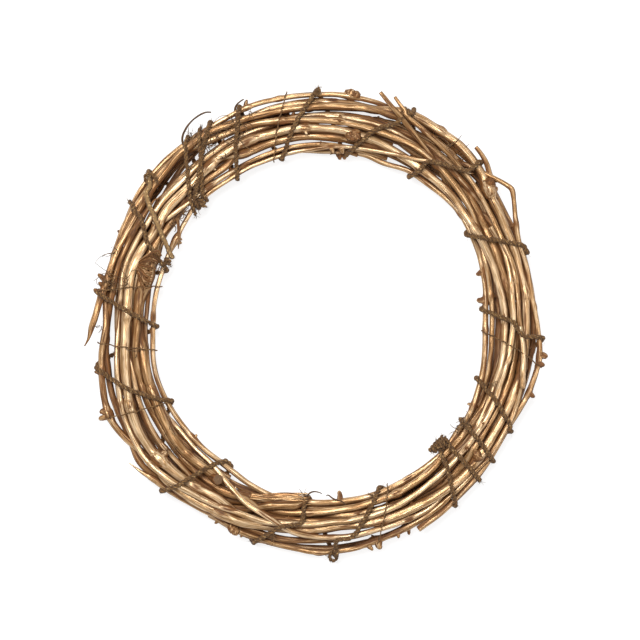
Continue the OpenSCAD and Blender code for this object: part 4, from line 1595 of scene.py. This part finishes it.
@dataclass
class TornBark(BarkPiece):
    """A flap of bark torn from the inner edge at 6, split into ragged strips."""

    name: str = "torn_bark_six"
    seed: int = 45
    strips: int = 22
    # The flap hangs from its wide end and frays toward the narrow one
    wide_hour: float = 6.72
    ragged_hour: float = 6.04
    # Distance of the inner and the outer edge from the ring's middle along the flap, in mm
    stations: tuple[float, ...] = (0, 0.3, 0.6, 0.85, 1)
    inner_edge: tuple[float, ...] = (97.5, 95.0, 92.2, 90.6, 90.6)
    outer_edge: tuple[float, ...] = (100.5, 99.0, 97.4, 97.2, 97.0)
    height: float = 14.6
    strip_width: float = 1.5 * MM
    thickness: float = 0.45 * MM
    sides: int = 8

    def fill(self, work: Work, node: bpy.types.Object) -> None:
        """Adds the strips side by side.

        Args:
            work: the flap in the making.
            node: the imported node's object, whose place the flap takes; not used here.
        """
        rng = work.rng
        share = np.linspace(0.0, 1.0, 16)
        inner, outer = (np.interp(share, self.stations, edge) for edge in (self.inner_edge, self.outer_edge))
        for i in range(self.strips):
            across = i / (self.strips - 1)
            end = self.ragged_hour + rng.uniform(0.0, 0.3) * (0.3 + across)
            hours = self.wide_hour + (end - self.wide_hour) * share
            reach = inner + (outer - inner) * across + 0.3 * np.sin(share * 9 + i)
            crown = 1.9 * math.sin(across * math.pi)
            lift = self.height + crown + rng.uniform(-0.4, 0.4) + 1.0 * share**3 * rng.uniform(-1.2, 1.6)
            points = np.array([ring_point(h, r, z) for h, r, z in zip(hours, reach, lift)])
            points = Centreline(points, share).resampled(0.8 * MM).points
            along = np.linspace(0.0, 1.0, len(points))
            ragged = (1.05 - 0.75 * along**3) * (1 + 0.15 * np.sin(along * 17 + i))
            widths = self.strip_width * rng.uniform(0.6, 1.2) * ragged
            self.add_bark(work, ribbon(points, widths, self.thickness, self.sides), rng.uniform(0.8, 1.0))


@dataclass
class BarkFan(BarkPiece):
    """A broom of torn bark that fans inward at half past nine: flat strips, and hairs over them."""

    name: str = "bark_fibres_ten"
    seed: int = 48
    strips: int = 26
    hairs: int = 44
    # Clock hour, distance from the ring's middle and height, in millimetres
    root: tuple[float, float, float] = (9.63, 103.0, 19.0)
    tip_hours: tuple[float, float] = (9.44, 9.82)
    tip_reach: float = 92.5
    tip_height: float = 18.6
    sides: int = 6

    def fill(self, work: Work, node: bpy.types.Object) -> None:
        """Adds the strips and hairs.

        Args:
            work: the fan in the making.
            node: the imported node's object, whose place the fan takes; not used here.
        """
        rng = work.rng
        root_hour, root_reach, root_height = self.root
        share = np.linspace(0.0, 1.0, 14)
        for i in range(self.strips + self.hairs):
            flat = i < self.strips
            hour = rng.uniform(*self.tip_hours)
            reach = self.tip_reach + rng.uniform(-1.0, 2.5)
            bow = (hour - root_hour) * (1.0 + 0.7 * np.sin(share * math.pi))
            start = root_reach + rng.uniform(-1.5, 1.5)
            crown = (2.0 if flat else 2.9) * rng.uniform(0.6, 1.15)
            drop = self.tip_height - root_height
            points = np.array([
                ring_point(root_hour + turn * t**0.8, start + (reach - start) * t,
                           root_height - 1.2 + crown * math.sin(t * 2.4) + drop * t)
                for t, turn in zip(share, bow)])
            width = (1.3 if flat else 0.42) * MM * rng.uniform(0.7, 1.3)
            tube = ribbon(points, width * (1.0 - 0.65 * share**2), (0.4 if flat else 0.3) * MM, self.sides)
            self.add_bark(work, tube, rng.uniform(0.35, 0.75) if flat else 0.2)


# ---- studio --------------------------------------------------------------------------------------


@dataclass
class Studio:
    """Pale floor, soft overhead light and a camera that looks straight down at the ring."""

    # Width of what the camera sees at the ring's middle height
    view_width: float = 0.3475
    camera_height: float = 1.5
    ring_height: float = 0.0115
    sensor_mm: float = 36.0
    # The ring sits a little low and left in the view
    aim: tuple[float, float] = (0.0034, 0.00275)
    floor_size: float = 6.0
    # The floor lies this far under the wreath, so that the two never fight for the surface
    floor_gap: float = 0.3 * MM
    air_light: float = 0.3

    def build(self) -> None:
        """Makes the floor, the lights, the camera and the pale surroundings."""
        self.add_floor()
        self.add_camera()
        self.add_light("overhead_softbox", (-0.35, 0.5, 1.5), 0.8, 27.5)
        self.add_light("side_fill", (1.1, -0.3, 1.2), 0.6, 7.0)
        world = bpy.data.worlds.new("studio_air")
        world.use_nodes = True
        set_inputs(world.node_tree.nodes["Background"], {"Color": (1.0, 1.0, 1.0, 1.0),
                                                         "Strength": self.air_light})
        bpy.context.scene.world = world
        bpy.context.scene.view_settings.view_transform = "Standard"

    def add_floor(self) -> None:
        """Lays the background paper that the wreath rests on."""
        half = self.floor_size / 2
        corners = [(-half, -half, 0), (half, -half, 0), (half, half, 0), (-half, half, 0)]
        mesh = bpy.data.meshes.new("floor")
        mesh.from_pydata(corners, [], [(0, 1, 2, 3)])
        floor = bpy.data.objects.new("floor", mesh)
        floor.data.materials.append(StudioPaper().build())
        floor.location.z = -self.floor_gap
        bpy.context.scene.collection.objects.link(floor)

    def add_camera(self) -> None:
        """Hangs the camera over the ring."""
        data = bpy.data.cameras.new("overhead_camera")
        data.sensor_width = self.sensor_mm
        data.lens = self.sensor_mm * (self.camera_height - self.ring_height) / self.view_width
        camera = bpy.data.objects.new("overhead_camera", data)
        camera.location = (*self.aim, self.camera_height)
        bpy.context.scene.collection.objects.link(camera)
        bpy.context.scene.camera = camera

    def add_light(self, name: str, place: tuple[float, float, float], size: float, watts: float) -> None:
        """Adds a soft square light that faces the ring.

        Args:
            name: the light's name.
            place: where it hangs, in metres.
            size: its side, in metres.
            watts: its power.
        """
        data = bpy.data.lights.new(name, "AREA")
        data.size = size
        data.energy = watts
        light = bpy.data.objects.new(name, data)
        light.location = place
        light.rotation_euler = (-Vector(place)).to_track_quat("-Z", "Y").to_euler()
        bpy.context.scene.collection.objects.link(light)


# ---- the whole wreath ----------------------------------------------------------------------------

# Knots and loops are short, so their bends stay tight and their fibres stand close
KNOTTED = partial(TwistedTwine, softening=0.6 * MM)

BINDING = (
    TwistedTwine("twine_right", 71, bulk=1.12, smooth_hours=(9.8, 10.46)),
    TwistedTwine("twine_left", 72, bulk=1.12),
    TwistedTwine("twine_spare_strand", 73),
    KNOTTED("twine_end_loops", 84, fibres_per_mm=3.0),
    KNOTTED("knot_twelve", 80, fibres_per_mm=3.0),
    KNOTTED("knot_half_past_four", 81, fibres_per_mm=1.2, frayed=8, bulk=1.15,
            wraps=((-2.6, -2.4, 0.6), (1.6, -0.6, 1.4))),
    KNOTTED("knot_ten", 82, fibres_per_mm=1.2, frayed=6),
    KNOTTED("knot_half_past_ten", 83, fibres_per_mm=1.5, frayed=9, wraps=((-1.0, 1.2, 0.6),)),
)
TRIMMINGS = (Gnarls(), TornBark(), BarkFan(), ThinStrand("tendrils_eleven", 90),
             ThinStrand("tendrils_six", 91), LooseThreads())
FIRST_CANE_SEED = 11


def main() -> None:
    """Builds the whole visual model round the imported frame."""
    logging.basicConfig(level=logging.INFO, format="%(message)s")
    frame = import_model()
    nodes = frame["nodes"]
    gold, jute, dry = (finish.build() for finish in (GoldSprayedVine(), JuteTwine(), DryTendril()))
    finishes = {"sprayed_cane": gold, "sprayed_bark": gold, "jute_twine": jute, "fine_thread": jute,
                "bare_tendril": dry}

    canes = []
    for seed, (name, detail) in enumerate(CANE_DETAILS.items(), start=FIRST_CANE_SEED):
        cane = Cane(name, seed + BUILD_SEED, detail)
        cane.lay(nodes[name], np.random.default_rng(seed))
        canes.append(cane)
    crowd = Crowd.of(canes)
    for part in (*canes, *BINDING, *TRIMMINGS):
        piece = part.build(nodes[part.name], crowd)
        piece.data.materials.append(finishes[part.slot])
        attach(piece, ROOT)
        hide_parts(part.name)
        LOG.info("%s: %d corners, stands for %s", piece.name, len(piece.data.vertices), part.name)

    Studio().build()


if __name__ == "__main__":
    main()
